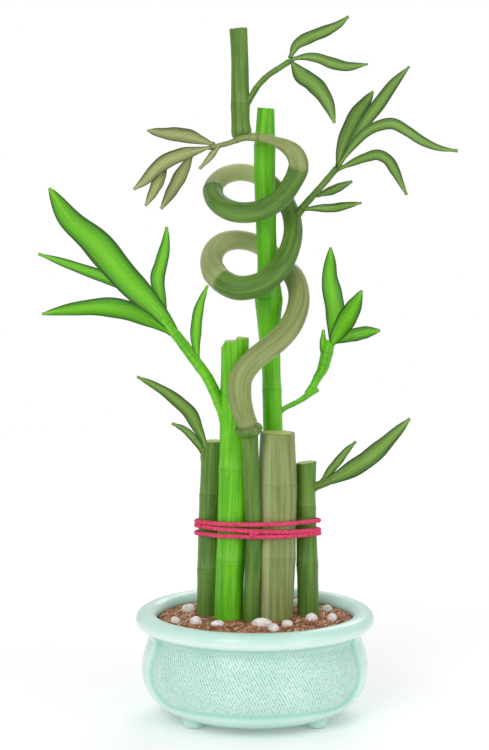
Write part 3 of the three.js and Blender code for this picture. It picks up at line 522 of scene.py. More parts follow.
def fill(node, inputs):
    """A node with each input joined to a value that varies, or given a number."""
    for key, value in inputs.items():
        if isinstance(value, Value):
            node.id_data.links.new(value.socket, node.inputs[key])
        else:
            node.inputs[key].default_value = value
    return node


def put(tree, kind, inputs=None, **settings):
    """A node of a kind with its settings and inputs."""
    node = tree.nodes.new(kind)
    for key, value in settings.items():
        setattr(node, key, value)
    return fill(node, inputs or {})


class Value:
    """A number, vector or colour that varies over a surface: one output of a node. What is worked
    out from it is made of nodes in the same tree."""

    def __init__(self, node, output=0):
        self.tree, self.socket = node.id_data, node.outputs[output]

    def made(self, kind, inputs, output=0, **settings):
        """An output of a new node of that kind."""
        return Value(put(self.tree, kind, inputs, **settings), output)

    def maths(self, operation, *others):
        """A sum of this number and the others."""
        return self.made("ShaderNodeMath", dict(enumerate([self, *others])), operation=operation)

    __add__ = partialmethod(maths, "ADD")
    __sub__ = partialmethod(maths, "SUBTRACT")
    __mul__ = partialmethod(maths, "MULTIPLY")
    __abs__ = partialmethod(maths, "ABSOLUTE")

    def waves(self, length):
        """A sine with waves of that length."""
        return (self * (TURN / length)).maths("SINE")

    def scaled(self, *scale):
        """A vector multiplied by three numbers."""
        return self.made("ShaderNodeVectorMath", {0: self, 1: scale}, operation="MULTIPLY")

    def split(self):
        """The three numbers of a vector."""
        node = put(self.tree, "ShaderNodeSeparateXYZ", {0: self})
        return [Value(node, axis) for axis in range(3)]

    def noise(self, scale=1.0, detail=2.0, rough=0.5):
        """Clouds over the places that a vector gives."""
        inputs = {"Vector": self, "Scale": scale, "Detail": detail, "Roughness": rough}
        return self.made("ShaderNodeTexNoise", inputs, "Fac")

    def spread(self, low, high, out_low=0.0, out_high=1.0):
        """The part between low and high stretched smoothly over out_low to out_high."""
        inputs = {"Value": self, 1: low, 2: high, 3: out_low, 4: out_high}
        return self.made("ShaderNodeMapRange", inputs, interpolation_type="SMOOTHSTEP")

    def between(self, first, second):
        """Two colours mixed by this share."""
        return self.made("ShaderNodeMix", {0: self, 6: first, 7: second}, 2, data_type="RGBA")

    def under(self, *layers):
        """This colour with others laid over it in turn, each by its own share."""
        colour = self
        for layer, share in layers:
            colour = share.between(colour, layer)
        return colour


def position(tree):
    """Where a point lies on its object."""
    return Value(put(tree, "ShaderNodeTexCoord"), "Object")


def field(tree, name):
    """The three values that a piece keeps at each point under that name."""
    return Value(put(tree, "ShaderNodeAttribute", attribute_name=name), "Vector")


def group(name, inputs, outputs):
    """An empty node group and its inputs. The kinds of its sockets are Color, Float and Vector."""
    tree = bpy.data.node_groups.new(name, "ShaderNodeTree")
    for way, sockets in (("INPUT", inputs), ("OUTPUT", outputs)):
        for label, kind in sockets.items():
            tree.interface.new_socket(label, in_out=way, socket_type=f"NodeSocket{kind}")
    given = tree.nodes.new("NodeGroupInput")
    return tree, [Value(given, label) for label in inputs]


def closed(tree, **results):
    """A node group with its results joined to its outputs."""
    put(tree, "NodeGroupOutput", results)
    return tree


def use(tree, effect, **inputs):
    """The outputs of a node group placed in a tree."""
    node = put(tree, "ShaderNodeGroup", inputs, node_tree=effect)
    return [Value(node, output) for output in range(len(node.outputs))]


def finish(name, paint, fixed):
    """A material: paint(tree) gives the colour, roughness and height that vary over the surface, and
    the relief in millimetres. The shader's own sockets keep what is the same all over it."""
    material = bpy.data.materials.new(name)
    material.use_nodes = True
    tree = material.node_tree
    colour, rough, height, relief = paint(tree)
    bump = put(tree, "ShaderNodeBump", {"Height": height, "Distance": relief * MM, "Strength": 1})
    inputs = {"Base Color": colour, "Roughness": rough, "Normal": Value(bump), **fixed}
    fill(tree.nodes["Principled BSDF"], inputs)
    return material


def fibres_effect():
    """Fine fibres along a cane over slow clouds of colour, from a light tone to a deep one."""
    tree, (skin, light, deep) = group(
        "cane_fibres", {"Skin": "Vector", "Light": "Color", "Deep": "Color"},
        {"Color": "Color", "Fibres": "Float"},
    )
    fibres = skin.scaled(1500, 1500, 34).noise(detail=3)
    bands = skin.scaled(420, 420, 16).noise()
    clouds = skin.scaled(90, 90, 40).noise()
    broad = (bands * 0.6 + clouds * 0.4).spread(0.36, 0.64)
    share = fibres.spread(0.35, 0.7) * 0.35 + broad * 0.65
    return closed(tree, Color=share.between(light, deep), Fibres=fibres)


def cut_effect():
    """The cut end of a cane: pale pith with darker dots of vessels, and a green rind at its edge."""
    tree, (share, skin, pale, rind) = group(
        "cut_end", {"Share": "Float", "Skin": "Vector", "Pith": "Color", "Rind": "Color"},
        {"Color": "Color", "Dots": "Float"},
    )
    dots = skin.made("ShaderNodeTexVoronoi", {"Vector": skin, "Scale": 1100}, "Distance")
    colour = (skin.noise(500, 3) * 0.5).between(pale, PITH["mottled"]).under(
        (PITH["vessels"], dots.spread(0.3, 0.12) * 0.45), (rind, share.spread(0.8, 0.93)),
    )
    return closed(tree, Color=colour, Dots=dots)


def veins_effect():
    """A leaf blade: paler along its midrib, deeper to its edges, with fine veins side by side from
    base to tip, slow clouds, and a dark margin."""
    tree, (blade, light, deep, under, side) = group(
        "leaf_veins",
        {"Blade": "Vector", "Light": "Color", "Deep": "Color", "Under": "Color", "Side": "Float"},
        {"Color": "Color", "Relief": "Float"},
    )
    across, edge, _ = blade.split()
    strands = blade.scaled(2.4, 0.6, 3).noise(detail=3)
    veins = (across + position(tree).noise(130, 3) * 0.35).waves(0.85)
    rib = abs(across).spread(0.55, 0.2)
    deepness = edge.spread(0.15, 1) * 0.75 + strands.spread(0.32, 0.68) * 0.4
    colour = deepness.between(light, deep).under(
        (under, veins.spread(0.2, 1, 0, 0.16)), (under, rib * 0.2), (under, side * 0.35),
        (MARGIN, edge.spread(0.72, 0.95) * 0.75),
    )
    return closed(tree, Color=colour, Relief=veins * 0.35 + rib * -1.2)


FIBRES = fibres_effect()
CUT_END = cut_effect()
VEINS = veins_effect()


def cane_paint(tones, other=None):
    """Skin in fibres, with painted light lifting it where shade falls, darker at each node ring, whose
    own dark line lies in its groove and just under it as painted shade, with painted shade at the lip
    too, a pale bloom above it, and the cut end. Where a piece has other tones too, the third value of
    its marks chooses."""
    def paint(tree):
        skin = field(tree, "skin")
        ring, bloom, tint = field(tree, "marks").split()
        cap, share, painted_light = field(tree, "cut").split()
        light, deep, line = tones
        colour, fibres = use(tree, FIBRES, Skin=skin, Light=light, Deep=deep)
        if other:
            colour = colour.under((use(tree, FIBRES, Skin=skin, Light=other[0], Deep=other[1])[0], tint))
            line = tint.between(line, other[2])
        end, dots = use(tree, CUT_END, Share=share, Skin=skin, Pith=PITH["pale"], Rind=deep)
        # Painted light lifts the shaded places, and the ring line carries painted shade
        colour = colour.under((PAINTED_LIGHT_TONE, painted_light), (BLOOM, bloom * 0.04), (line, ring * 0.6), (end, cap))
        rough = fibres.spread(0.3, 0.7, 0.34, 0.46) + cap * 0.35
        return colour, rough, fibres + cap * dots * 1.5, 0.07
    return paint


def leaf_paint(light, deep, under):
    """A leaf blade in its tones, smoother on its veins."""
    def paint(tree):
        blade = field(tree, "blade")
        side = field(tree, "side").split()[0]
        colour, relief = use(tree, VEINS, Blade=blade, Light=light, Deep=deep, Under=under, Side=side)
        return colour, relief.spread(-1, 0.6, 0.36, 0.5), relief, 0.09
    return paint


def glaze_paint(tree):
    """Celadon glaze: it pools darker in the grooves and thins to near white on the panels' lips, and a
    painted highlight in that near white lies along the front of the rim's roll. Slants of a comb show
    through it in the panels. Bare clay shows under the feet."""
    panel, pool, bare = field(tree, "glaze").split()
    thin_and_highlight, across, up = field(tree, "wall").split()
    place = position(tree)
    clouds = place.noise(45, 3)
    comb = (across + up * 0.55 + place.noise(160) * 1.6).waves(2.1)
    dashes = (up - across * 0.55 + place.noise(420) * 11).waves(3).spread(-0.6, 0.3, 0.1, 1)
    combed = comb * dashes * panel
    colour = clouds.spread(0.3, 0.7).between(GLAZE["light"], GLAZE["body"]).under(
        (GLAZE["thin"], combed.spread(0.1, 1, 0, 0.8)), (GLAZE["comb"], combed.spread(-0.1, -1, 0, 0.9)),
        (GLAZE["thin"], thin_and_highlight * 0.7), (GLAZE["pool"], pool * 0.6), (GLAZE["sunk"], panel * 0.15),
        (GLAZE["speck"], place.noise(900).spread(0.66, 0.74, 0, 0.4)), (GLAZE["clay"], bare),
    )
    rough = clouds.spread(0.3, 0.7, 0.2, 0.3) + bare * 0.5 + panel * 0.15
    return colour, rough, combed * 0.7 + clouds * 1.2, 0.16


def soil_paint(tree):
    """Damp soil: each crumb has its own brown, with painted shade in the hollows and against the
    canes, and tan where it has dried.
    """
    crumb, hollow, dry = field(tree, "earth").split()
    chip = field(tree, "chip").split()[0]
    place = position(tree)
    grit = place.noise(1400, 4, 0.65)
    colour = crumb.between(SOIL["dark"], SOIL["mid"]).under(
        (SOIL["tan"], dry * grit.spread(0.35, 0.62)),
        (SOIL["dark"], place.noise(120, 3).spread(0.45, 0.7, 0, 0.35)),
        (SOIL["hollow"], hollow * 0.7), (SOIL["chip"], chip),
    )
    return colour, grit.spread(0.3, 0.7, 0.75, 0.97), grit, 0.5


def pebble_paint(tree):
    """Tumbled white stone with faint grey and rosy clouds and fine pits."""
    place = position(tree)
    pits = place.noise(1900, 3)
    colour = place.noise(220, 4, 0.6).spread(0.35, 0.68).between(STONE["white"], STONE["grey"])
    colour = colour.under((STONE["pit"], pits.spread(0.58, 0.75, 0, 0.4)))
    return colour, pits.spread(0.3, 0.7, 0.42, 0.62), pits, 0.12


def cord_paint(tree):
    """Twisted cord: painted shade in the grooves where the plies meet, and fine threads laid along them."""
    # The first value is how deep in a groove between plies a point lies, for painted shade
    groove, twist, along = field(tree, "ply").split()
    laid = twist.made("ShaderNodeCombineXYZ", {0: twist * 9, 1: along * 0.12})
    threads = laid.noise(1, 3)
    colour = threads.spread(0.32, 0.68).between(THREAD["body"], THREAD["light"]).under(
        (THREAD["deep"], position(tree).noise(380).spread(0.5, 0.72, 0, 0.5)),
        (THREAD["deep"], groove.spread(0.35, 1, 0, 0.85)),
    )
    return colour, threads.spread(0.3, 0.7, 0.55, 0.75), threads, 0.12


WAXY = {"Specular IOR Level": 0.3, "Coat Weight": 0.06, "Coat Roughness": 0.3}
SKINS = {tint: finish(f"{tint}_skin", cane_paint(tones), WAXY) for tint, tones in SKIN_TONES.items()}
CURLY_SKIN = finish("two_tint_skin", cane_paint(SKIN_TONES["dark"], CURLY_OLIVE), WAXY)
LEAVES = {tint: finish(f"{tint}_leaf", leaf_paint(*tones), WAXY) for tint, tones in LEAF_TONES.items()}
GLAZED = finish(
    "celadon_glaze", glaze_paint, {"Specular IOR Level": 0.3, "Coat Weight": 0.2, "Coat Roughness": 0.14}
)
EARTH = finish("damp_soil", soil_paint, {})
WHITE_STONE = finish("white_stone", pebble_paint, {})
TWISTED = finish("twisted_cord", cord_paint, {"Specular IOR Level": 0.25})

# ---- bowl


def panel_field(angle, height):
    """How far inside a panel a point of the wall lies, in millimetres: from the nearer of its sides
    and its foot, with wide rounded corners. The panels face front and back, and reach the rim."""
    from_face = np.minimum(np.abs(angle), np.abs(np.abs(angle) - math.pi))
    sideways = (math.radians(PANEL["half_angle"]) - from_face) * GIRTH
    upwards = height - PANEL["low"]
    out = np.hypot(np.maximum(PANEL["corner"] - sideways, 0), np.maximum(PANEL["corner"] - upwards, 0))
    return PANEL["corner"] - out


def half_section():
    """The bowl's half section, [radius, height], and the kind of each row: 0 under, 1 up the
    outside, 2 round the roll of the rim and 3 down the inside."""
    def wall(stations, rows):
        line = profile(stations, 1)
        return evenly(line, run_of(line)[-1] / rows)[0][:, [0, 2]]

    turn = np.radians(np.linspace(RIM["from"], RIM["to"], 56))
    roll = np.column_stack([
        RIM["radius"] + RIM["across"] * np.cos(turn), RIM["height"] + RIM["up"] * np.sin(turn),
    ])
    (out, low), (into, high) = OUTSIDE[0], INSIDE[-1]
    under = np.column_stack([np.linspace(POLE, out, 10), np.full(10, low)])[:-1]
    floor = np.column_stack([np.linspace(into, POLE, 8), np.full(8, high)])[1:]
    parts = [under, wall(OUTSIDE, 84), roll, np.vstack([wall(INSIDE, 30), floor])]
    return np.vstack(parts), np.repeat(range(4), [len(part) for part in parts])


def bowl_shell():
    """p(a, s) = (r sin a, -r cos a, z) with r, z from the half section, less the panel's depth on
    the outside, and a slow throwing wave."""
    section, kind = half_section()
    angles = np.linspace(-math.pi, math.pi, 400, endpoint=False)
    angle, radius = np.meshgrid(angles, section[:, 0])
    height = np.repeat(section[:, 1:2], len(angles), axis=1)
    kind = kind[:, None]
    wall, roll = kind == 1, kind == 2
    inside = panel_field(angle, height)
    lip = band(inside, "lip") * wall
    radius = radius - PANEL["depth"] * smoothstep(0, PANEL["edge"], inside) * wall + PANEL["lip"] * lip
    thrown = np.sin(THROWN["waves"] * angle + height / THROWN["climb"])
    radius = radius + THROWN["deep"] * thrown * (kind > 0)
    grid = np.stack([radius * np.sin(angle), -radius * np.cos(angle), height], axis=-1)
    pool = (
        band(inside, "groove") * wall + band(height, "neck") * (wall | roll)
        + roll * band(height, "roll") * (radius < RIM["radius"]) + 0.5 * band(height, "under") * wall
    )
    # A painted highlight along the front of the roll, and thin glaze on the panels' lips
    from_highlight = np.hypot(radius - RIM_HIGHLIGHT[0], height - RIM_HIGHLIGHT[1])
    thin_and_highlight = np.clip(roll * bell(from_highlight, 2.6) + 0.6 * lip, 0, 1)
    from_panel = np.where(np.abs(angle) < math.pi / 2, angle, angle - math.pi * np.sign(angle))
    return shell(
        grid,
        glaze=(smoothstep(2.5, 5, inside) * wall, np.clip(pool, 0, 1)),
        wall=(thin_and_highlight, from_panel * GIRTH, height),
    )


def foot_shell(x, y):
    """A turned foot: its profile carried round its own axis, flared into the bowl above."""
    line = profile(FOOT_PROFILE, 0.5)
    angles = around_circle(48)
    radius, height = line[:, 0:1], line[:, 2:3]
    return shell(
        three((len(line), 48), x + radius * np.cos(angles), y + radius * np.sin(angles), height),
        glaze=(0, 0.8 * band(height, "foot"), smoothstep(0.7, 0.2, height)),
        wall=(0, 0, height),
    )


make("bowl", [bowl_shell()] + [foot_shell(x, y) for x, y in FEET], [GLAZED], "glaze", "pot")

# ---- canes


def nearest_offset(places, rings):
    """The signed distance from each place to the ring that is nearest to it."""
    offsets = np.asarray(places)[:, None] - np.asarray(rings, float)[None]
    return np.take_along_axis(offsets, np.abs(offsets).argmin(axis=1)[:, None], axis=1)[:, 0]


def cane_places(length, rings):
    """Distances along a cane for its rows, close together at each ring."""
    near = [ring + RING_ROWS for ring in rings]
    places = np.unique(np.round(np.concatenate([np.arange(0, length, CANE_ROWS), *near, [length]]), 2))
    return places[(places >= 0) & (places <= length)]


def skin_field(radius, angles, along):
    """Where each point lies on a cane's skin, in metres: round its axis and along it."""
    return radius * np.cos(angles) * MM, radius * np.sin(angles) * MM, along[:, None] * MM


def plain(rows, *_):
    """No second tint and no painted light."""
    return np.zeros((len(rows), 1))


def cane_shell(line, rings, columns, seed, top=None, tint=plain, painted_light=plain, lip=FAR, edges=()):
    """A cane along a line of [x, y, z, radius, ...]: a tube whose radius has the relief of its rings
    and lip and slow lumps, 0.1 (sin(3a + s/17) + sin(2a - s/9.5)), closed by a bevel and rings that
    shrink to the middle. `top` gives how much higher the cut lies at an offset (x, y) from the
    middle, and `edges` the places where the tint changes."""
    places = cane_places(run_of(line)[-1], [*rings, *edges])
    rows = at_places(line, places)
    offset = nearest_offset(places, rings)
    angles = around_circle(columns)
    lumps = LUMPS * (
        np.sin(3 * angles + places[:, None] / 17 + seed) + np.sin(angles * 2 - places[:, None] / 9.5 + seed)
    )
    relief = bumps(offset, RING_RELIEF) + bumps(places - lip, LIP_RELIEF)
    radii = rows[:, 3:4] + relief[:, None] + lumps
    body, _ = cane_tube(rows[:, :3], radii, columns)
    # Painted light where shade falls, by where each point lies across the cane in radii
    pale = painted_light(rows, (body[..., :2] - rows[:, None, :2]) / rows[:, None, 3:4])

    middle = rows[-1, :3]
    upward = unit(middle - rows[-2, :3])
    cut = middle + (body[-1] - middle) * CUT_SHARES[:, None, None] + upward * CUT_RISE[:, None, None]
    grid = np.concatenate([body, cut])
    if top:
        lean = smoothstep(middle[2] - CUT_FROM, middle[2], grid[..., 2])
        grid[..., 2] += lean * top(grid[..., 0] - middle[0], grid[..., 1] - middle[1])

    # Each row of the cut end takes its values from the cane's last row
    row = np.minimum(np.arange(len(grid)), len(places) - 1)
    share = np.concatenate([np.ones(len(places)), CUT_SHARES])[:, None]
    on_cut = share < 1
    offset = np.where(on_cut, FAR, offset[row][:, None])
    from_lip = np.where(on_cut, FAR, places[row][:, None] - lip)
    # The ring line with painted shade in its groove and under it, and painted shade about the lip
    ring = np.clip(bumps(offset, RING_LINE_AND_SHADE) + bumps(from_lip, LIP_SHADE), 0, 1)
    bloom = smoothstep(1.2, 2.6, offset) * smoothstep(13, 3.5, offset)
    return shell(
        grid,
        skin=skin_field(radii[row] * share, angles, places[row] + 40 * seed),
        marks=(ring, bloom, tint(rows)[row]),
        cut=(share < 0.95, share, np.where(on_cut, 0, pale[row])),
    )


def notched_top(x, _):
    """A cut made from two sides."""
    right, left = smoothstep(*NOTCHED["right"], x), smoothstep(*NOTCHED["left"], x)
    return NOTCHED["proud"] * right - NOTCHED["split"] * left


def sloped_top(slope):
    """A slanting cut with the ripple that the saw leaves."""
    return lambda x, y: slope * x + SAWN["deep"] * np.sin(x * SAWN["across"] + y * SAWN["along"])


def side_painted_light(_, across):
    """A strip of painted light on the front of a cane, lifting the shade on its left side: from that side
    to a third of the way over, by the offset from its middle in radii."""
    return 0.42 * smoothstep(-0.3, -0.42, across[..., 0]) * smoothstep(0.15, -0.15, across[..., 1])


for number, (name, (tint, heights, slope, stations)) in enumerate(CANES.items()):
    rings = [height - stations[0][2] for height in heights]
    top, columns = (notched_top, 112) if slope is NOTCHED else (sloped_top(slope), 56)
    # The olive cane gets a strip of painted light down its shaded left side
    painted_light = side_painted_light if name == "cane_olive" else plain
    body = cane_shell(smooth_line(stations, 12), rings, columns, number * 1.7, top, painted_light=painted_light)
    make(name.replace("cane", "stalk"), [body], [SKINS[tint]], f"cane_{tint}", name)


def coil_stations():
    """x = X + A(f) cos f, y = Y + D sin f, z = Z + rise f / 360 + lift(f) + (tilt - ease f / 360)
    sin(f - lag): two coils round the tall cane that climb and stand higher at the back."""
    turn = np.radians(COIL_ANGLES)
    along = COIL_ANGLES / COIL_ANGLES[-1] * (len(COIL_THICK) - 1)
    thick, across, lift = (
        np.interp(along, np.arange(len(values)), values) for values in (COIL_THICK, COIL_ACROSS, COIL_LIFT)
    )
    lean = (COIL["tilt"] - COIL["ease"] * COIL_ANGLES / 360) * np.sin(turn - math.radians(COIL["lag"]))
    return np.column_stack([
        COIL["x"] + across * np.cos(turn),
        COIL["y"] + COIL["deep"] * np.sin(turn),
        COIL["start"] + COIL["rise"] * COIL_ANGLES / 360 + lift + lean,
        thick,
        COIL_ANGLES,
    ])


def curly_line():
    """The curly cane's middle with its radius and the numbers of its places."""
    lower = np.column_stack([CURLY_LOWER, np.arange(-len(CURLY_LOWER), 0)])
    upper = np.column_stack([CURLY_CROSSING, CROSSING + CROSSING_STEP * np.arange(len(CURLY_CROSSING))])
    return evenly(smooth_line(np.vstack([lower, coil_stations(), upper]), 16), 0.5)[0]


def olive_share(rows):
    """1 along the olive lengths and 0 along the dark ones, changing over a few millimetres."""
    run = run_of(rows)
    share = np.zeros(len(rows))
    for ends in OLIVE_LENGTHS:
        start, end = np.interp(ends, rows[:, 4], run)
        inside = np.minimum(run - start, end - run)
        share = np.maximum(share, smoothstep(-OLIVE_EDGE, OLIVE_EDGE, inside))
    return share[:, None]


def coil_painted_light(rows, _):
    """Painted light on the olive lengths, lifting the shade on them: most at the backs of the coils."""
    return np.interp(rows[:, 4], *np.transpose(COIL_PAINTED_LIGHT))[:, None] * olive_share(rows)


CURLY = curly_line()
rings, edges, lip = (
    np.interp(marks, CURLY[:, 4], run_of(CURLY)) for marks in (CURLY_RINGS, np.ravel(OLIVE_LENGTHS)[:-1], LIP)
)
winding = cane_shell(CURLY, rings, 44, 9.1, tint=olive_share, painted_light=coil_painted_light, lip=lip, edges=edges)
straight = cane_shell(smooth_line(CURLY_TOP, 16), [TOP_RING], 48, 4.4, sloped_top(0.04))
make("stalk_curly", [winding, straight], [CURLY_SKIN], "cane_curly", "cane_curly")

# ---- leafy shoots


def half_width(share, width, widest):
    """The half width of a blade along it: rising as a sine to its widest, then falling as a cosine,
    and never under a taper from base to tip."""
    before = np.sin(np.clip(share / widest, 0, 1) * math.pi / 2) ** BLADE["full_base"]
    after = np.cos(np.clip((share - widest) / (1 - widest), 0, 1) * math.pi / 2)
    swell = np.where(share < widest, before, np.maximum(after, 0) ** BLADE["full_tip"])
    return np.maximum(width / 2 * swell, BLADE["base"] + (BLADE["tip"] - BLADE["base"]) * share)


def turned(vectors, axes, angles):
    """Vectors turned about unit axes: v cos t + (k x v) sin t, for v at right angles to k."""
    return vectors * np.cos(angles)[:, None] + np.cross(axes, vectors) * np.sin(angles)[:, None]


def blade_shell(width, twist, widest, *midrib, seed):
    """A folded, waved blade: across it a flat loop u = cos a, t = sin a, at midrib(s) + u h(s) side
    + (fold h |u|^1.4 + wave sin(9 s + u) |u| + thick/2 t) face. It closes round the stem at its base
    and thins to its edges."""
    line, run = evenly(smooth_line(midrib), 1.1)
    share = (run / run[-1])[:, None]
    along = unit(np.gradient(line, axis=0))
    face = np.array(TOWARDS) - along * (along @ np.array(TOWARDS))[:, None]
    face = turned(unit(face), along, np.radians(twist * (share[:, 0] - BLADE["untwisted"])))
    angles = around_circle(26)
    u, t = np.cos(angles), np.sin(angles)
    half = half_width(share, width, widest) * (1 + BLADE["ripple"] * np.sin(share * BLADE["ripples"] + seed))
    wave = BLADE["wave"] * np.sin(share * BLADE["waves"] + u) * np.minimum(1, half / BLADE["wave_from"])
    fold = BLADE["fold"] + BLADE["closed"] * np.exp(-run / 5)[:, None]
    thick = BLADE["thick"] * (0.55 + 0.45 * bell(u, 0.35))
    lift = fold * half * np.abs(u) ** 1.4 + wave * np.abs(u) + thick / 2 * t
    sideways = (half * u)[..., None] * np.cross(face, along)[:, None]
    grid = line[:, None] + sideways + lift[..., None] * face[:, None]
    return shell(grid, finish=1, blade=(half * u, np.abs(u), share), side=(t < 0, seed))


def stem_shell(stations, flare, seed):
    """A green stem: a tube that flares where it leaves the cane and has the rims of old sheaths."""
    line, run = evenly(smooth_line(stations), 0.45)
    rims = np.arange(STEM["first_rim"], run[-1], STEM["rims"])
    offset = nearest_offset(run, rims) if len(rims) else np.full(len(run), FAR)
    sheath = STEM["sheath"] * smoothstep(-STEM["sheath_over"], 0, offset) * (offset <= 0)
    radii = (line[:, 3] + sheath + flare * bell(run, STEM["flare_over"]))[:, None]
    grid, angles = cane_tube(line[:, :3], radii, 20)
    offset = offset[:, None]
    return shell(
        grid,
        skin=skin_field(radii, angles, run + 30 * seed),
        marks=(bumps(offset, SHEATH_LINE), bumps(offset, SHEATH_BLOOM)),
        cut=(),
    )


for name, (tint, stems, leaves) in SHOOTS.items():
    pieces = [stem_shell(stations, 0 if i else STEM["flare"], i) for i, stations in enumerate(stems)]
    pieces += [blade_shell(*leaf, seed=1.3 * i) for i, leaf in enumerate(leaves)]
    make(name.replace("shoot", "leafy_shoot"), pieces, [SKINS[tint], LEAVES[tint]], f"leaf_{tint}", name)

# ---- tie


def cane_sections(height):
    """The middle and radius of every cane at a height."""
    lines = [np.array(cane[-1], float) for cane in CANES.values()] + [np.array(CURLY_LOWER)]
    return np.array([[np.interp(height, line[:, 2], line[:, k]) for k in (0, 1, 3)] for line in lines])


def turn_line(left, right):
    """One turn drawn tight round the canes: at each angle the point of the cane that reaches furthest
    that way. Its height slopes from left to right and from front to back."""
    canes = cane_sections((left + right) / 2)
    angles = around_circle(1440)
    towards = np.column_stack([np.cos(angles), np.sin(angles)])
    reach = towards @ canes[:, :2].T + canes[:, 2]
    cane = canes[reach.argmax(axis=1)]
    points = cane[:, :2] + (cane[:, 2] + CORD["radius"] + CORD["off"])[:, None] * towards
    slope = np.clip(points[:, 0] / CORD["half_bundle"], -1, 1)
    height = (left + right) / 2 + (right - left) / 2 * slope - CORD["tilt"] * points[:, 1]
    line = np.column_stack([points, height])
    return evenly(np.vstack([line, line[:1]]), CORD["step"])[0][:-1]


def rope_shell(line, radius):
    """A closed cord of three plies: a tube whose radius r (0.76 + 0.27 |cos(1.5 (a - q))|^0.8) has
    three lobes, with q turning along it once in a lay."""
    along = unit(np.roll(line, -1, axis=0) - np.roll(line, 1, axis=0))
    side = unit(np.cross(along, (0, 0, 1)) + 1e-6)
    run = run_of(line)
    lays = max(round(run[-1] / CORD["lay"]), 1)
    angles = around_circle(24)
    phase = angles - (np.arange(len(line)) / len(line) * lays * TURN)[:, None]
    lobe = np.abs(np.cos(CORD["plies"] / 2 * phase))
    grid = tube(line, along, side, radius * (CORD["core"] + CORD["lobe"] * lobe**0.8), angles)
    # The first value marks the grooves between the plies, for painted shade
    return shell(grid, looped=True, ply=(1 - lobe, phase, run[:, None]))


def knot_line():
    """An overhand knot as a trefoil, x = sin t + 2 sin 2t, z = cos t - 2 cos 2t, y = -sin 3t, drawn
    small and flat against the canes."""
    t = around_circle(160)
    loops = np.column_stack([np.sin(t) + 2 * np.sin(2 * t), -np.sin(3 * t), np.cos(t) - 2 * np.cos(2 * t)])
    return loops * KNOT["size"] + np.array(KNOT["place"])


cords = [rope_shell(turn_line(*turn), CORD["radius"]) for turn in TURNS]
make("tie_cord", cords + [rope_shell(knot_line(), KNOT["radius"])], [TWISTED], "cord", "tie")

# ---- soil and pebbles


def soil_height(across, edge=SOIL_EDGE):
    """The low dome of the soil, 63 - 1.2 (r / R)^2, under its clods."""
    return SOIL_LEVEL - SOIL_DOME * (across / edge) ** 2


def clods(x, y, size, seed, high):
    """Rounded clods: one point is scattered in each square cell, and each place takes the dome
    high (1 - (d / size)^2) of the nearest, with that point's own number."""
    cell_x, cell_y = np.floor(x / size), np.floor(y / size)
    best = np.full(x.shape, 9.0)
    own = np.zeros(x.shape)
    for dx in (-1, 0, 1):
        for dy in (-1, 0, 1):
            i, j = cell_x + dx, cell_y + dy
            draw = np.sin(i * 127.1 + j * 311.7 + seed) * 43758.5453 % 1
            other = np.sin(i * 269.5 + j * 183.3 + seed) * 24634.6345 % 1
            apart = np.hypot(x / size - i - draw, y / size - j - other)
            own = np.where(apart < best, (draw * 7 + other * 3) % 1, own)
            best = np.minimum(best, apart)
    return high * np.clip(1 - best**2, 0, 1), own


def soil_shell():
    """The filling of the bowl: its top is a low dome with clods of four sizes, banked a little
    against every cane; below, its side follows the wall down to the floor."""
    angles = around_circle(440)
    side, flat = np.transpose(SOIL_SIDE)
    radius = np.concatenate([side, np.linspace(SOIL_EDGE, 0.6, 112)])[:, None]
    x, y = radius * np.cos(angles), radius * np.sin(angles)
    (big, own), (middling, own_two), (small, own_three), (fine, _) = (clods(x, y, *clod) for clod in CLODS)
    relief = big * own + middling * own_two + small * own_three + fine
    near = np.min([np.hypot(x - cx, y - cy) - r for cx, cy, r in cane_sections(SOIL_LEVEL)], axis=0)
    bank = BANK["height"] * bell(np.maximum(near, 0), BANK["width"])
    height = soil_height(radius) - CLOD_FOOT + relief + bank
    height[:len(flat)] = flat[:, None]
    # Painted shade in the hollows between clods and against the canes
    hollow = smoothstep(0.75, 0.2, relief) + 0.6 * smoothstep(1.2, 0, np.abs(near))
    dry = smoothstep(0.9, 1.9, relief) * (0.35 + 0.65 * own_two)
    grid = np.stack([x, y, height], axis=-1)
    return shell(grid, earth=((own_three + own) / 2, np.clip(hollow, 0, 1), dry))


def crumb_shells(seed, stretch=(1, 1, 1), heading=None, pale=0.0):
    """Loose crumbs: small lumpy balls, each stretched, turned and set on the soil at a seeded place
    clear of the canes. With a heading they are chips that lie nearly the same way."""
    rng = np.random.default_rng(seed)
    points, faces = ball(2)
    count, within = CRUMBS["count"], CRUMBS["within"]
    spots = rng.uniform(-within, within, (count * 4, 2))
    canes = cane_sections(SOIL_LEVEL)
    apart = np.hypot(spots[:, :1] - canes[:, 0], spots[:, 1:] - canes[:, 1]) - canes[:, 2]
    clear = (apart.min(axis=1) > CRUMBS["off_cane"]) & (np.hypot(*spots.T) < SOIL_EDGE - CRUMBS["off_wall"])
    spots = spots[clear][:count]
    count = len(spots)
    size = rng.uniform(*CRUMBS["size"], (count, 1)) * rng.uniform(*CRUMBS["side"], (count, 3)) * stretch
    turn = rng.uniform(0, TURN, count) if heading is None else rng.normal(heading, 0.15, count)
    lump = 1 + CRUMBS["lumps"] * np.sin(points @ rng.uniform(-3, 3, (3, count)) + turn).T
    body = points[None] * lump[..., None] * size[:, None]
    x, y = spun(body[..., 0], body[..., 1], turn[:, None])
    level = soil_height(np.hypot(*spots.T))[:, None] + CRUMBS["raised"] * size[:, 2:]
    place = np.stack([x + spots[:, :1], y + spots[:, 1:], body[..., 2] + level], axis=-1)
    every = (faces[None] + np.arange(count)[:, None, None] * len(points)).reshape(-1, 3)
    own = np.repeat(rng.uniform(0, 1, count), len(points))
    dry = np.repeat(rng.uniform(0, 0.9, count), len(points))
    fields = {"earth": three(own.shape, own, 0, dry), "chip": three(own.shape, pale * (0.4 + 0.6 * own))}
    return {"points": place.reshape(-1, 3), "faces": every, "finish": 0, "fields": fields}


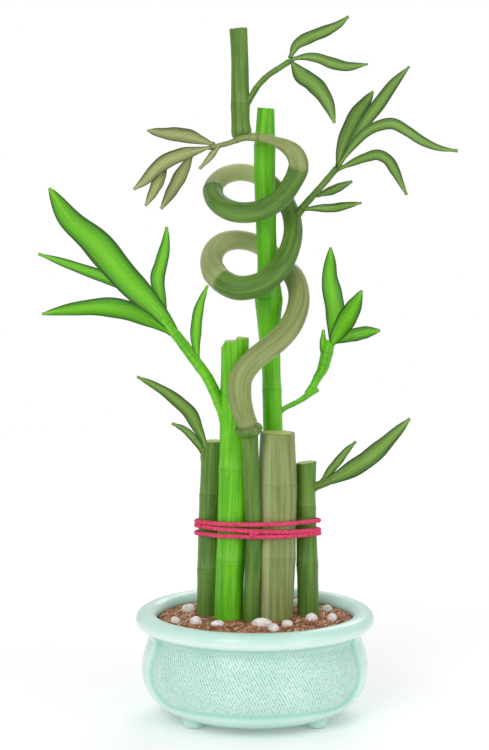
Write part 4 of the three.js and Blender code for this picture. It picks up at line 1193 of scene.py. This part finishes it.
def pebble_shell(x, y, length, width, height, number):
    """A flattened ball whose radius swings by slow waves, sin(2x + shift) + sin(3y + shift), with
    small dents, turned on its own heading and sunk a third of its height."""
    drawn = (number * GOLDEN) % 1
    shift = drawn * TURN
    points, faces = ball(5)
    slow = np.sin(points[:, 0] * 2 + shift) + np.sin(points[:, 1] * 3 + shift)
    dents = np.sin(points @ (5.1, -3.3, 4.2) + shift * 2) * np.sin(points @ (-2.7, 6.1, 3.4) - shift)
    swell = 1 + PEBBLE["lumps"] * slow + PEBBLE["dents"] * dents
    body = points * swell[:, None] * np.array([length, width, height]) / 2
    along, across = spun(body[:, 0], body[:, 1], (drawn - 0.5) * PEBBLE["turn"])
    level = soil_height(math.hypot(x, y), PEBBLE["bed"]) + height * (0.5 - PEBBLE["sunk"])
    place = np.column_stack([along + x, across + y, body[:, 2] + level])
    return {"points": place, "faces": outward(place, faces), "finish": 0, "fields": {}}


make("earth", [soil_shell()], [EARTH], "soil", "soil")
make("earth_crumbs", [crumb_shells(4)], [EARTH], "soil")
make("earth_chips", [crumb_shells(11, **CHIP)], [EARTH], "soil")
for number, pebble in enumerate(PEBBLES):
    label = f"{number + 1:02d}"
    make(f"white_stone_{label}", [pebble_shell(*pebble, number)], [WHITE_STONE], "pebble", f"pebble_{label}")

# ---- floor and light


def make_floor():
    """A wide round table top, pale and plain, that fades into the white behind it at its edge."""
    bpy.ops.mesh.primitive_circle_add(vertices=96, radius=1.5, fill_type="TRIFAN", location=(0, 0, -0.0002))
    floor = bpy.context.object
    floor.name = "table_top"
    material = bpy.data.materials.new("pale_table")
    material.use_nodes = True
    place = position(material.node_tree)
    far = place.made("ShaderNodeVectorMath", {0: place}, "Value", operation="LENGTH")
    fill(material.node_tree.nodes["Principled BSDF"], {
        "Base Color": place.noise(3).between((0.93, 0.93, 0.93, 1), (0.96, 0.96, 0.96, 1)),
        "Alpha": far.spread(0.5, 1.45, 1, 0),
        "Emission Color": WHITE, "Emission Strength": 0.13, "Roughness": 0.9, "Specular IOR Level": 0.1,
    })
    floor.data.materials.append(material)


def make_light(name, place, size, watts):
    """A square soft light that looks at the middle of the plant."""
    data = bpy.data.lights.new(name, "AREA")
    data.size = size
    data.energy = watts
    lamp = bpy.data.objects.new(name, data)
    lamp.location = place
    x, y, z = np.array([0, 0, 0.2]) - np.array(place)
    lamp.rotation_euler = (math.atan2(math.hypot(x, y), -z), 0, math.atan2(-x, y))
    bpy.context.scene.collection.objects.link(lamp)


def make_sky(strength):
    """An even white sky that lights the plant softly and is seen as plain white behind it."""
    world = bpy.data.worlds.new("soft_sky")
    world.use_nodes = True
    seen = Value(put(world.node_tree, "ShaderNodeLightPath"), "Is Camera Ray")
    fill(world.node_tree.nodes["Background"], {"Color": WHITE, "Strength": seen.spread(0, 1, strength, 1)})
    bpy.context.scene.world = world


make_floor()
make_light("key", (-0.55, -1.3, 0.95), 0.8, 8)
make_light("fill", (1.2, -1.1, 0.7), 1.0, 4)
make_light("back", (0.3, 1.3, 1.1), 0.9, 6)
make_sky(0.66)
bpy.context.scene.view_settings.view_transform = "Standard"
